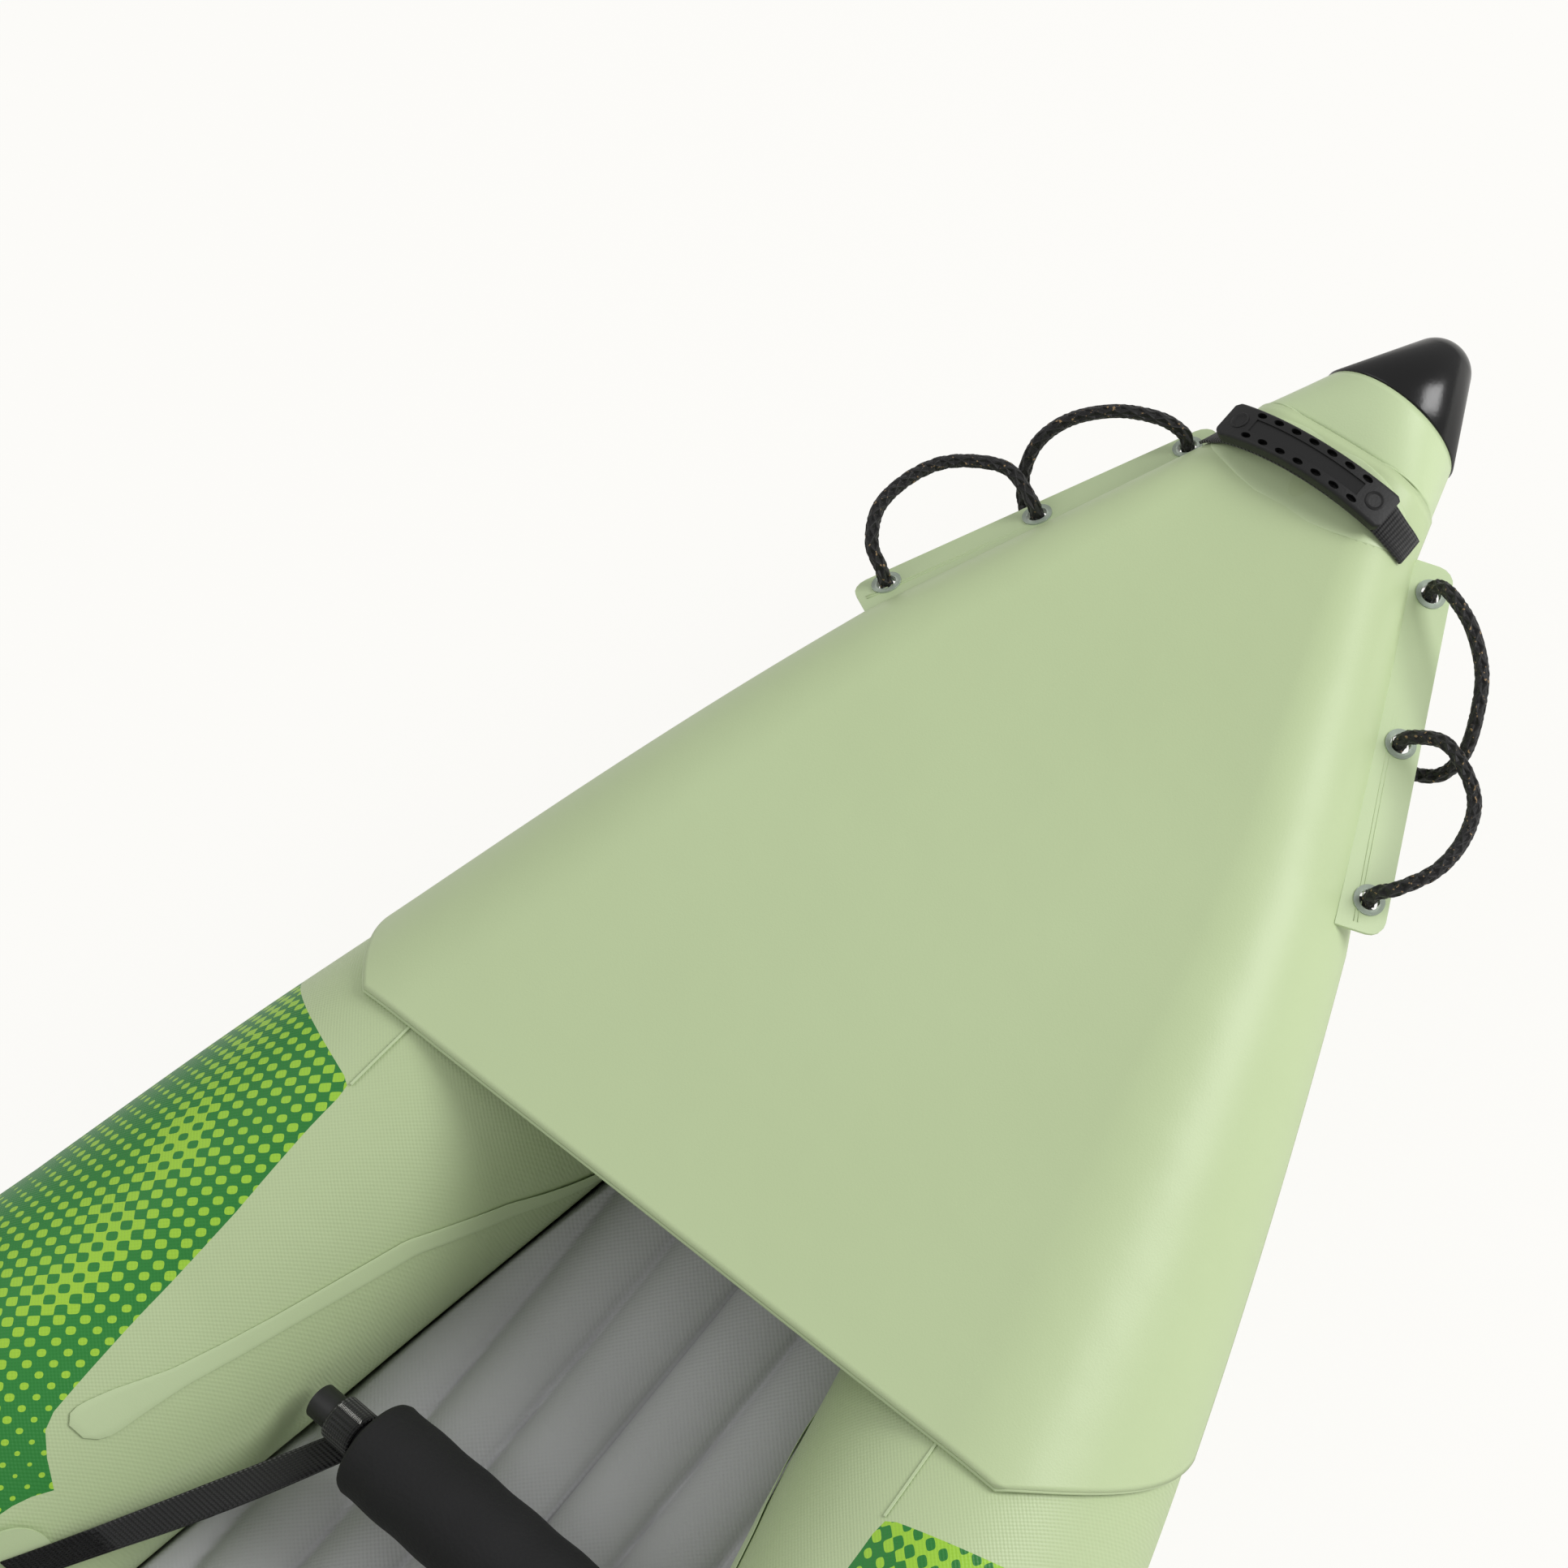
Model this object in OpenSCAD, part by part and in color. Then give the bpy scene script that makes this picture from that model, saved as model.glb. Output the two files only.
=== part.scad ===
// Recreational sit-in inflatable kayak: two curved side tubes, an I-beam floor,
// spray decks at both ends, roller footrest, high-back seat, valves and deck rigging.
// +X starboard, +Y bow, +Z up, millimetres. The origin is under the middle of the hull.

/* [Hull] */
// Length from nose tip to nose tip
hull_len = 3110; // [3110:10:4100]
// Half of the widest beam
half_beam = 415; // [395:1:500]
// Side tube radius amidships
tube_r = 112; // [95:1:125]
// Share of the tube radius lost towards the ends
tube_taper = 0.46; // [0.4:0.01:0.5]
// Side tube radius where the two tubes meet in the bow
tube_end_r = 32; // [28:1:34]
// Height of the deck line at the cockpit end
sheer_low = 201; // [195:1:215]
// Height of the deck line near the nose
sheer_high = 206; // [200:1:215]
// Clearance between soft parts that lie against each other
gap = 0.4; // [0.3:0.05:0.6]

/* [Skins and floor] */
// Thickness of the deck and bottom fabric
skin = 1.6; // [1:0.1:2]
// Thickness of the inflated floor
floor_t = 42; // [35:1:50]
// Distance from the hull middle to the end of the floor
floor_end = 1130; // [1000:5:1150]
// Distance from the nose tip back to the bow deck edge
bow_deck_len = 655; // [550:5:700]
// Distance from the tail tip forward to the stern deck edge
stern_deck_len = 655; // [550:5:700]
// How far the deck corner stands outboard of the tube top, degrees
deck_corner_deg = 17; // [5:1:30]
// How far the bottom skin wraps under each tube, degrees from straight down
bottom_wrap_deg = 35; // [25:1:45]

/* [Nose] */
// Nose cone length
cone_len = 62; // [50:1:80]
// Nose cone base radius
cone_r = 43; // [38:1:46]
// Radius of the rounded tip
cone_tip_r = 20; // [14:1:24]
// Wall of the moulded cone
cone_wall = 3; // [2:0.5:4]
// Height of the nose axis
nose_z = 170; // [165:1:178]
// Length of the welded sleeve behind the cone
sleeve_len = 39; // [36:1:42]

/* [Rope flaps] */
// Length of a flap
flap_len = 218; // [210:1:230]
// Width of a flap
flap_w = 25; // [24:1:30]
// Flap thickness
flap_t = 2; // [1.5:0.1:3]
// Downward slope of a flap, degrees
flap_tilt = 22; // [15:1:30]
// Eyelet outer radius
eyelet_r = 8.5; // [8:0.1:10]
// Eyelet bore radius
eyelet_bore = 5.6; // [5.4:0.1:6]
// Distance between eyelets
eyelet_pitch = 91; // [85:1:95]
// Rope diameter
rope_d = 7.6; // [6:0.1:8]

/* [Carry handles] */
// Length of the moulded grip
grip_len = 100; // [90:1:120]
// Width of the moulded grip
grip_w = 23; // [20:1:26]
// Grip thickness
grip_t = 9; // [8:0.5:12]
// Clear height under the grip
grip_clear = 12; // [10:1:15]
// Webbing thickness
web_t = 1.6; // [1.2:0.1:2]

/* [Footrest] */
// Foam roller length
roller_len = 150; // [130:1:170]
// Foam roller radius
roller_r = 28; // [24:1:32]
// Footrest rod radius
rod_r = 10; // [8:0.5:12]
// Footrest distance forward of the hull middle
footrest_y = 730; // [650:5:760]
// Footrest axis height
footrest_z = 116; // [105:1:125]
// Width of the straps
web_w = 18; // [15:1:25]

/* [Seat] */
// Seat cushion width
seat_w = 352; // [320:1:360]
// Seat cushion length
seat_len = 380; // [340:5:420]
// Seat cushion thickness
seat_t = 45; // [35:1:60]
// Rear edge of the seat cushion
seat_y = -330; // [-400:5:-280]
// Backrest height
back_h = 400; // [350:5:450]
// Backrest thickness
back_t = 42; // [35:1:50]
// Backrest width
back_w = 356; // [320:1:364]
// Rake of the backrest at rest, degrees
back_rake = 10; // [5:1:15]

/* [Valves and fittings] */
// Valve body radius
valve_r = 27; // [24:0.5:30]
// Valve stem radius
stem_r = 6; // [5:0.1:7]
// Valve distance aft of the hull middle
valve_y = 640; // [600:5:700]
// D-ring wire radius
ring_wire_r = 2.5; // [2:0.1:3]
// D-ring inside half width
ring_half = 15; // [12:1:18]
// Running clearance of pins and stems
run_gap = 0.06; // [0.03:0.01:0.1]

/* [Hidden] */

half_len = hull_len / 2;
nose_y = half_len - cone_len;
tube_end_y = nose_y - 67;
sleeve_y = nose_y - sleeve_len;
crease_y0 = nose_y - 257;
crease_y1 = tube_end_y;
crease_x0 = half_beam * 0.386;
crease_x1 = 62;
bow_deck_y = half_len - bow_deck_len;
stern_deck_y = half_len - stern_deck_len;
sides = 36;

// Smooth minimum of two lengths, and a smooth step from 0 to 1
function smin(a, b, k) = (a + b - sqrt(pow(a - b, 2) + k * k)) / 2;
function smooth(t) = let (c = min(1, max(0, t))) c * c * (3 - 2 * c);
function spread(a, b, n) = [for (i = [0 : n]) a + (b - a) * i / n];
function backwards(list) = [for (i = [len(list) - 1 : -1 : 0]) list[i]];
function port_of(p) = [-p[0], p[1], p[2]];

// Stations along the hull that every skin and tube shares, so that their facets lie parallel
deck_chamfer = 85;
function half_stations(edge_y) = concat(spread(0, edge_y, 9),
    [for (y = spread(edge_y, edge_y + deck_chamfer, 3)) if (y > edge_y) y],
    [for (y = spread(edge_y + deck_chamfer, crease_y0, 5)) if (y > edge_y + deck_chamfer) y],
    [for (y = spread(crease_y0, tube_end_y, 4)) if (y > crease_y0) y]);
function stations(tail_end, nose_end) = let (
    nose = half_stations(bow_deck_y), tail = half_stations(stern_deck_y))
    concat([for (i = [len(tail) - 1 : -1 : 1]) if (-tail[i] > tail_end + 0.01) -tail[i]],
        [for (y = nose) if (y < nose_end - 0.01) y]);

// Half beam, tube radius and tube axis at a distance from the middle
function beam(y) = let (a = abs(y))
    a < crease_y0 ? half_beam - (half_beam - crease_x0) * pow(a / crease_y0, 2.03)
    : lookup(a, [[crease_y0, crease_x0], [crease_y1, crease_x1], [nose_y, cone_r]]);
function radius(y) = let (a = abs(y))
    min(smin(tube_r * (1 - tube_taper * pow(a / half_len, 2)),
             tube_end_r + (tube_end_y - a) * 0.13, 5), beam(y) / 2 - gap / 2);
function sheer(y) = sheer_low + (sheer_high - sheer_low) * smooth((abs(y) - 900) / 300);
function axis_x(y) = beam(y) - radius(y);
function axis_z(y) = max(radius(y) * cos(180 / sides), sheer(y) - radius(y));

// Point on the starboard tube, with the angle from straight up towards starboard
function on_tube(y, deg, off = 0) =
    [axis_x(y) + (radius(y) + off) * sin(deg), y, axis_z(y) + (radius(y) + off) * cos(deg)];

// Point on a skin stretched over both tubes, at a girth distance from the middle
function over_hull(y, s, off) = let (flat = axis_x(y), a = abs(s), side = s < 0 ? -1 : 1,
    p = a <= flat ? [a, y, axis_z(y) + radius(y) + off]
        : on_tube(y, (a - flat) / radius(y) * 180 / PI, off))
    [side * p[0], p[1], p[2]];

// Closed skin through rings of points, with a fan on a middle point at each end
function ring_mid(r) = [for (k = [0 : 2]) (min([for (p = r) p[k]]) + max([for (p = r) p[k]])) / 2];
module skin_through(rings) {
    n = len(rings[0]);
    m = len(rings);
    points = concat([for (r = rings) each r], [ring_mid(rings[0]), ring_mid(rings[m - 1])]);
    faces = concat(
        [for (i = [0 : m - 2]) for (j = [0 : n - 1]) let (a = i * n + j, b = i * n + (j + 1) % n)
            each [[a, b, b + n], [a, b + n, a + n]]],
        [for (j = [0 : n - 1]) [(j + 1) % n, j, n * m]],
        [for (j = [0 : n - 1]) [(m - 1) * n + j, (m - 1) * n + (j + 1) % n, n * m + 1]]);
    polyhedron(points = points, faces = faces, convexity = 8);
}

// Sheet through pairs of edge rows: each row is a line of points on its upper and lower face
module sheet_through(upper, lower) {
    n = len(upper[0]);
    m = len(upper);
    points = concat([for (r = upper) each r], [for (r = lower) each r]);
    h = n * m;
    quads = concat(
        [for (i = [0 : m - 2]) for (j = [0 : n - 2]) let (a = i * n + j)
            each [[a, a + n, a + 1 + n, a + 1], [h + a, h + a + 1, h + a + 1 + n, h + a + n]]],
        [for (j = [0 : n - 2]) let (e = (m - 1) * n + j)
            each [[j, j + 1, h + j + 1, h + j], [e, h + e, h + e + 1, e + 1]]],
        [for (i = [0 : m - 2]) let (a = i * n, b = i * n + n - 1)
            each [[a, h + a, h + a + n, a + n], [b, b + n, h + b + n, h + b]]]);
    faces = [for (q = quads) each [[q[0], q[1], q[2]], [q[0], q[2], q[3]]]];
    polyhedron(points = points, faces = faces, convexity = 8);
}

module for_side(side) {
    if (side > 0) children();
    else mirror([1, 0, 0]) children();
}
module for_end(end) {
    if (end > 0) children();
    else mirror([0, 1, 0]) children();
}

pale_green = [0.71, 0.79, 0.6];
shade_green = [0.6, 0.69, 0.5];
black = [0.1, 0.1, 0.1];
grey = [0.55, 0.55, 0.54];

// Inflated side tube, with rounded ends and a flat strip where it rests
module side_tube(side) {
    end_cap = [[0, 1], [4.8, 0.9], [7.8, 0.4]];
    function ring(y, grow, scale) = [for (j = [0 : sides - 1]) let (a = (j + 0.5) * 360 / sides)
        [axis_x(y) + radius(y) * scale * sin(a), y + grow, axis_z(y) + radius(y) * scale * cos(a)]];
    rings = concat(
        [for (c = [2, 1]) ring(-tube_end_y, -end_cap[c][0], end_cap[c][1])],
        [for (y = stations(-tube_end_y - 1, tube_end_y + 1)) ring(y, 0, 1)],
        [for (c = [1, 2]) ring(tube_end_y, end_cap[c][0], end_cap[c][1])]);
    color(pale_green) for_side(side) skin_through(rings);
}
module port_side_tube() side_tube(-1);
module starboard_side_tube() side_tube(1);

// Lift of the deck skin off a tube: the facets of both need a little more than the gap
facet_gap = 0.4;
gap_skin = gap + facet_gap;
deck_off = gap_skin + skin;

// Bottom fabric from one tube's underside to the other's
wrap_start = 15;
skin_end = sleeve_y - gap;
function bottom_row(y, off) = let (
    half = [for (a = spread(wrap_start, bottom_wrap_deg, 2)) on_tube(y, 180 + a, off)])
    concat([for (p = half) port_of(p)], backwards(half));
function bottom_top(y) = on_tube(y, 180 + bottom_wrap_deg, gap)[2];
module hull_bottom() {
    ys = concat([-skin_end], stations(-skin_end, skin_end), [skin_end]);
    color(shade_green)
        sheet_through([for (y = ys) bottom_row(y, gap)], [for (y = ys) bottom_row(y, gap + skin)]);
}

// Inflated floor, shaped to the inner faces of the tubes
function inner_x(y, z) = axis_x(y)
    - sqrt(max(0, pow(radius(y) + gap, 2) - pow(z - axis_z(y), 2)));
floor_side_gap = 1.2;
module floor_chamber() {
    function edge(y) = let (z0 = bottom_top(y) + gap)
        [for (z = spread(z0, z0 + floor_t, 3)) [inner_x(y, z) - floor_side_gap, y, z]];
    ys = concat([-floor_end], stations(-floor_end, floor_end), [floor_end]);
    rings = [for (y = ys)
        concat(backwards(edge(y)), [for (p = edge(y)) port_of(p)])];
    color(grey) skin_through(rings);
}

// Spray deck: its cut edge angles forward where it wraps over the tubes
deck_wrap_deg = 95;
function deck_deg(y, edge_y) = min(deck_wrap_deg, deck_corner_deg
    + (deck_wrap_deg - deck_corner_deg) * (y - edge_y) / deck_chamfer);
module deck(end, edge_y) {
    ys = concat(spread(edge_y, edge_y + deck_chamfer, 12),
        [for (y = half_stations(edge_y)) if (y > edge_y + deck_chamfer + 0.01) y], [skin_end]);
    function side(y, off) = [for (a = spread(deck_deg(y, edge_y), 0, 9)) on_tube(y, a, off)];
    function row(y, off) = concat([for (p = side(y, off)) port_of(p)], backwards(side(y, off)));
    color(pale_green) for_end(end)
        sheet_through([for (y = ys) row(y, gap_skin + skin)], [for (y = ys) row(y, gap_skin)]);
}
module bow_deck() deck(1, bow_deck_y);
module stern_deck() deck(-1, stern_deck_y);

// Welded sleeve: from the rounded hull section to the round base of the cone
module sleeve(end) {
    w0 = beam(sleeve_y) + deck_off;
    top0 = sheer_high + deck_off;
    low0 = bottom_row(sleeve_y, gap + skin)[0][2];
    function ring(t) = let (
        w = w0 + (cone_r - 0.6 - w0) * t,
        top = top0 + (nose_z + cone_r - 0.6 - top0) * t,
        low = low0 + (nose_z - cone_r + 0.6 - low0) * t,
        pw = 0.7 + 0.3 * t)
        [for (j = [0 : 31]) let (a = (j + 0.5) * 360 / 32, s = sin(a), c = cos(a))
            [w * sign(s) * pow(abs(s), pw), sleeve_y + (sleeve_len - gap) * t,
             (top + low) / 2 + (top - low) / 2 * sign(c) * pow(abs(c), pw)]];
    color(pale_green) for_end(end) skin_through([for (t = spread(0, 1, 4)) ring(t)]);
}
module bow_sleeve() sleeve(1);
module stern_sleeve() sleeve(-1);

// Moulded nose cone: a hollow cone that is tangent to its round tip
module nose_cone(end) {
    centre = cone_len - cone_tip_r;
    function outline(base, tip) = let (
        reach = norm([base, centre]),
        first = -atan2(centre, base) + acos(tip / reach))
        concat([[0, 0], [base, 0]],
            [for (a = spread(first, 90, 8)) [tip * cos(a), centre + tip * sin(a)]]);
    color(black) for_end(end) translate([0, nose_y, nose_z]) rotate([-90, 0, 0])
        rotate_extrude($fn = 72) difference() {
            polygon([for (p = outline(cone_r, cone_tip_r)) [max(0, p[0]), p[1]]]);
            translate([0, -0.01]) polygon([for (p = outline(cone_r - cone_wall, cone_tip_r - cone_wall))
                [max(0, p[0]), p[1]]]);
        }
}
module bow_nose_cone() nose_cone(1);
module stern_nose_cone() nose_cone(-1);

// Rope flap frame: X along the flap towards the nose, -Y outboard, Z up from its upper face
flap_z = 176;
flap_x = crease_x0 - 0.6;
flap_turn = 90 + atan((crease_x0 - crease_x1 - 3) / (crease_y1 - crease_y0));
module in_flap(end, side) for_end(end) for_side(side)
    translate([flap_x, crease_y0, flap_z]) rotate([flap_tilt, 0, flap_turn]) children();

// Outboard distance of the deck skin from the flap's straight line
function hull_edge(s) = let (y = crease_y0 + s * sin(flap_turn), x = flap_x + s * cos(flap_turn),
    rise = max(0, flap_z - flap_t - axis_z(y)), full = radius(y) + deck_off)
    (axis_x(y) + sqrt(full * full - rise * rise) - x) * sin(flap_turn);
module flap(end, side) {
    corner = 9;
    eyes = [for (k = [-1 : 1]) flap_len / 2 + k * eyelet_pitch];
    inner = [for (s = spread(0, flap_len, 10)) [s, -(hull_edge(s) + 0.9)]];
    outer = concat(
        [for (a = spread(0, -90, 4)) [flap_len - corner + corner * cos(a), -flap_w + corner + corner * sin(a)]],
        [for (a = spread(-90, -180, 4)) [corner + corner * cos(a), -flap_w + corner + corner * sin(a)]]);
    color(pale_green) in_flap(end, side) translate([0, 0, -flap_t]) difference() {
        linear_extrude(flap_t) polygon(concat(inner, outer));
        for (s = eyes) translate([s, -eyelet_in, -1])
            cylinder(r = eyelet_barrel + run_gap, h = flap_t + 2, $fn = 48);
    }
}
module bow_port_flap() flap(1, -1);
module bow_starboard_flap() flap(1, 1);
module stern_port_flap() flap(-1, -1);
module stern_starboard_flap() flap(-1, 1);

// Moulded eyelets: a barrel through the flap with a flange on each face
eyelet_in = flap_w - eyelet_r - 2.5;
eyelet_barrel = eyelet_bore + 1;
flange_t = 1;
module eyelets(end) {
    color([0.75, 0.82, 0.78]) for (side = [-1, 1]) for (k = [-1 : 1]) in_flap(end, side)
        translate([flap_len / 2 + k * eyelet_pitch, -eyelet_in, 0]) rotate_extrude($fn = 48)
            polygon([[eyelet_bore, -flap_t - flange_t], [eyelet_r, -flap_t - flange_t],
                [eyelet_r, -flap_t - 0.05], [eyelet_barrel, -flap_t - 0.05], [eyelet_barrel, 0.05],
                [eyelet_r, 0.05], [eyelet_r, flange_t], [eyelet_bore, flange_t]]);
}
module bow_eyelets() eyelets(1);
module stern_eyelets() eyelets(-1);

// Deck rope on the bow's starboard side: up through the aft eyelet, out and round,
// down through the middle one, under the flap's edge, and down through the fore one
rope_points = [[162, 1257, 168], [164, 1258, 174], [167, 1260, 181], [177, 1266, 189],
    [187, 1284, 192], [187, 1306, 191], [179, 1326, 190], [163, 1339, 190], [145, 1346, 188],
    [127, 1341, 181], [122, 1339, 171], [119, 1338, 160], [121, 1338, 149], [130, 1342, 141],
    [142, 1348, 146], [149, 1358, 162], [147, 1372, 181], [137, 1390, 190], [118, 1407, 193],
    [97, 1418, 190], [85, 1422, 181], [82, 1421, 174], [81, 1420, 168]];
rope_sides = 8;
function unit(v) = v / norm(v);
module rope(end, side) {
    n = len(rope_points);
    inboard = [60, 1340, 172];
    rings = [for (i = [0 : n - 1]) let (
        along = unit(rope_points[min(n - 1, i + 1)] - rope_points[max(0, i - 1)]),
        across = unit(cross(along, rope_points[i] - inboard)),
        other = cross(along, across))
        [for (j = [0 : rope_sides - 1]) let (a = j * 360 / rope_sides)
            rope_points[i] + rope_d / 2 * (across * sin(a) + other * cos(a))]];
    color(black) for_end(end) for_side(side) skin_through(rings);
}
module bow_port_rope() rope(1, -1);
module bow_starboard_rope() rope(1, 1);
module stern_port_rope() rope(-1, -1);
module stern_starboard_rope() rope(-1, 1);

// Stopper knots under the outer eyelets
knot_r = 5;
knot_h = 4;
module knots(end) {
    color(black) for (side = [-1, 1]) for (k = [-1, 1]) in_flap(end, side)
        translate([flap_len / 2 + k * eyelet_pitch, -eyelet_in, -flap_t - flange_t - 0.8 - knot_h])
            cylinder(r = knot_r, h = knot_h, $fn = 32);
}
module bow_rope_knots() knots(1);
module stern_rope_knots() knots(-1);

// Flat outline along a line of points, with a thickness to each side
function normal2(pts, i) = let (d = pts[min(len(pts) - 1, i + 1)] - pts[max(0, i - 1)])
    [-d[1], d[0]] / norm(d);
function band(pts, t) = concat(
    [for (i = [0 : len(pts) - 1]) pts[i] + normal2(pts, i) * t / 2],
    [for (i = [len(pts) - 1 : -1 : 0]) pts[i] - normal2(pts, i) * t / 2]);
module across_hull(y, w) translate([0, y + w / 2, 0]) rotate([90, 0, 0]) linear_extrude(w) children();

// Carry handle: moulded grip over a webbing strap whose tabs lie on a welded patch
handle_y = nose_y - 68;
patch_t = 1.2;
patch_half = 64;
patch_deep = 24;
patch_off = deck_off + gap_skin + 0.3;
tab_off = patch_off + patch_t + gap_skin + web_t / 2;
tab_len = 16;
web_mid_z = axis_z(handle_y) + radius(handle_y) + patch_off + patch_t + grip_clear + web_t / 2;
arch_r = (pow(grip_len / 2, 2) + pow(grip_clear, 2)) / (2 * grip_clear);
arch_deg = asin(grip_len / 2 / arch_r);
function arch(off, n) = [for (a = spread(-arch_deg, arch_deg, n))
    [(arch_r + off) * sin(a), web_mid_z - arch_r + (arch_r + off) * cos(a)]];
module handle_grip(end) {
    color(black) for_end(end) across_hull(handle_y, grip_w)
        polygon(band(arch(web_t / 2 + 0.3 + grip_t / 2, 12), grip_t));
}
module handle_webbing(end) {
    ys = spread(handle_y - web_w / 2 - 1, handle_y + web_w / 2 + 1, 2);
    function tab(y, off) = [for (s = spread(grip_len / 2 + 6, grip_len / 2 + tab_len, 4))
        over_hull(y, s, tab_off + off)];
    function row(y, off) = concat([for (p = backwards(tab(y, off))) port_of(p)],
        [for (p = arch(off, 12)) [p[0], y, p[1]]], tab(y, off));
    color(black) for_end(end)
        sheet_through([for (y = ys) row(y, web_t / 2)], [for (y = ys) row(y, -web_t / 2)]);
}
module handle_patch(end) {
    turns = spread(-80, 80, 10);
    function reach(a) = patch_half * sqrt(1 - 0.95 * pow(sin(a), 2));
    function row(a, off) = [for (u = spread(-1, 1, 14))
        over_hull(handle_y + patch_deep * sin(a), u * reach(a), off)];
    color(pale_green) for_end(end)
        sheet_through([for (a = turns) row(a, patch_off + patch_t)], [for (a = turns) row(a, patch_off)]);
}
module bow_handle_grip() handle_grip(1);
module stern_handle_grip() handle_grip(-1);
module bow_handle_webbing() handle_webbing(1);
module stern_handle_webbing() handle_webbing(-1);
module bow_handle_patch() handle_patch(1);
module stern_handle_patch() handle_patch(-1);

// Footrest: a foam roller turning on a rod that hangs in two webbing loops
module along_x(x0, x1, r, fn = 64) translate([x0, 0, 0]) rotate([0, 90, 0]) cylinder(r = r, h = x1 - x0, $fn = fn);
rod_half = inner_x(footrest_y, footrest_z) - 12;
loop_x = roller_len / 2 + 8;
loop_t = 2.4;
strap_back = 165;
anchor_deg = -62;
module footrest_foam() color(black) translate([0, footrest_y, footrest_z]) difference() {
    along_x(-roller_len / 2, roller_len / 2, roller_r);
    along_x(-roller_len, roller_len, rod_r + run_gap);
}
module footrest_rod() color(grey) translate([0, footrest_y, footrest_z]) along_x(-rod_half, rod_half, rod_r);
module footrest_strap(side) {
    loop_r = rod_r + gap + loop_t;
    tail_y = footrest_y - strap_back;
    tail = on_tube(tail_y, anchor_deg, anchor_lift(tail_y) + patch_t + gap + web_t / 2);
    color(black) for_side(side) {
        difference() {
            translate([0, footrest_y, footrest_z]) along_x(loop_x, loop_x + web_w, loop_r);
            translate([0, footrest_y, footrest_z]) along_x(loop_x - 1, loop_x + web_w + 1, rod_r + gap);
        }
        hull() {
            translate([loop_x, footrest_y - 6, footrest_z - loop_r + 0.2]) cube([web_w, 2, web_t]);
            translate(tail) rotate([0, anchor_deg, turn(tail_y)]) cube([web_w, 2, web_t], center = true);
        }
    }
}
module footrest_port_strap() footrest_strap(-1);
module footrest_starboard_strap() footrest_strap(1);

// Welded anchor: a round patch, and where a ring hangs, a folded webbing keeper with its bore
anchor_r = 24;
function anchor_lift(y) = gap + 0.3 + abs(turn(y)) * 0.05;
keeper = [20, 9, 7.4];
ring_lift = patch_t + 0.3 + keeper[2] / 2;
function turn(y) = atan((axis_x(y - 5) - axis_x(y + 5)) / 10);
module on_anchor(side, y, deg) for_side(side)
    translate(on_tube(y, deg, anchor_lift(y))) rotate([0, deg, turn(y)]) children();
module anchor(side, y, deg, keeps) color(pale_green) on_anchor(side, y, deg) {
    cylinder(r = anchor_r, h = patch_t, $fn = 64);
    if (keeps) translate([0, 0, patch_t - 0.1]) difference() {
        translate([-keeper[0] / 2, -keeper[1] / 2, 0]) cube([keeper[0], keeper[1], keeper[2] + 0.1]);
        translate([0, 0, ring_lift - patch_t + 0.1]) along_x(-keeper[0], keeper[0], ring_wire_r + run_gap);
    }
}
module d_ring(side, y, deg) color(grey) on_anchor(side, y, deg) translate([0, 0, ring_lift]) {
    along_x(-ring_half - ring_wire_r - 0.2, ring_half + ring_wire_r + 0.2, ring_wire_r, 48);
    rotate_extrude(angle = 180, $fn = 72) translate([ring_half, 0]) circle(r = ring_wire_r - 0.1, $fn = 32);
}
ring_deg = -40;
fore_ring_y = 120;
rear_ring_y = -470;
module footrest_port_anchor() anchor(-1, footrest_y - strap_back, anchor_deg, false);
module footrest_starboard_anchor() anchor(1, footrest_y - strap_back, anchor_deg, false);
module seat_port_anchor() anchor(-1, fore_ring_y, ring_deg, true);
module seat_starboard_anchor() anchor(1, fore_ring_y, ring_deg, true);
module rear_port_anchor() anchor(-1, rear_ring_y, ring_deg, true);
module rear_starboard_anchor() anchor(1, rear_ring_y, ring_deg, true);
module seat_port_ring() d_ring(-1, fore_ring_y, ring_deg);
module seat_starboard_ring() d_ring(1, fore_ring_y, ring_deg);
module rear_port_ring() d_ring(-1, rear_ring_y, ring_deg);
module rear_starboard_ring() d_ring(1, rear_ring_y, ring_deg);

// Seat: cushion on the floor, backrest hinged on a rod held behind the cushion
seat_z = bottom_top(0) + gap + floor_t + gap;
pin_r = 4;
barrel_r = 8;
hinge_y = seat_y - barrel_r - 7;
hinge_z = seat_z + seat_t + barrel_r + 3;
barrel_half = back_w / 2 - 32;
loop_half = barrel_half + 16;
module rounded(w, l, r) offset(r = r, $fn = 32) square([w - 2 * r, l - 2 * r], center = true);
module seat_cushion() color(grey) translate([0, seat_y + seat_len / 2, seat_z])
    linear_extrude(seat_t) rounded(seat_w, seat_len, 50);
module seat_backrest() color(grey) translate([0, hinge_y, hinge_z]) rotate([back_rake, 0, 0])
    difference() {
        union() {
            along_x(-barrel_half, barrel_half, barrel_r);
            translate([0, barrel_r, back_h / 2]) rotate([90, 0, 0])
                linear_extrude(back_t) rounded(back_w, back_h, 60);
        }
        along_x(-back_w, back_w, pin_r + run_gap);
        for (side = [-1, 1]) for_side(side) translate([barrel_half, -back_t, -barrel_r - 1])
            cube([back_w, 2 * back_t, 2 * barrel_r + 6]);
    }
module seat_hinge_rod() color(black) translate([0, hinge_y, hinge_z])
    along_x(-loop_half, loop_half, pin_r);
module seat_hinge_loops() color(black) for (side = [-1, 1]) for_side(side) difference() {
    union() {
        translate([loop_half - 13, hinge_y - 7, seat_z]) cube([12, 14, hinge_z - seat_z]);
        translate([0, hinge_y, hinge_z]) along_x(loop_half - 13, loop_half - 1, 7);
    }
    translate([0, hinge_y, hinge_z]) along_x(loop_half - 20, loop_half + 5, pin_r + 0.3);
}

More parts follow.
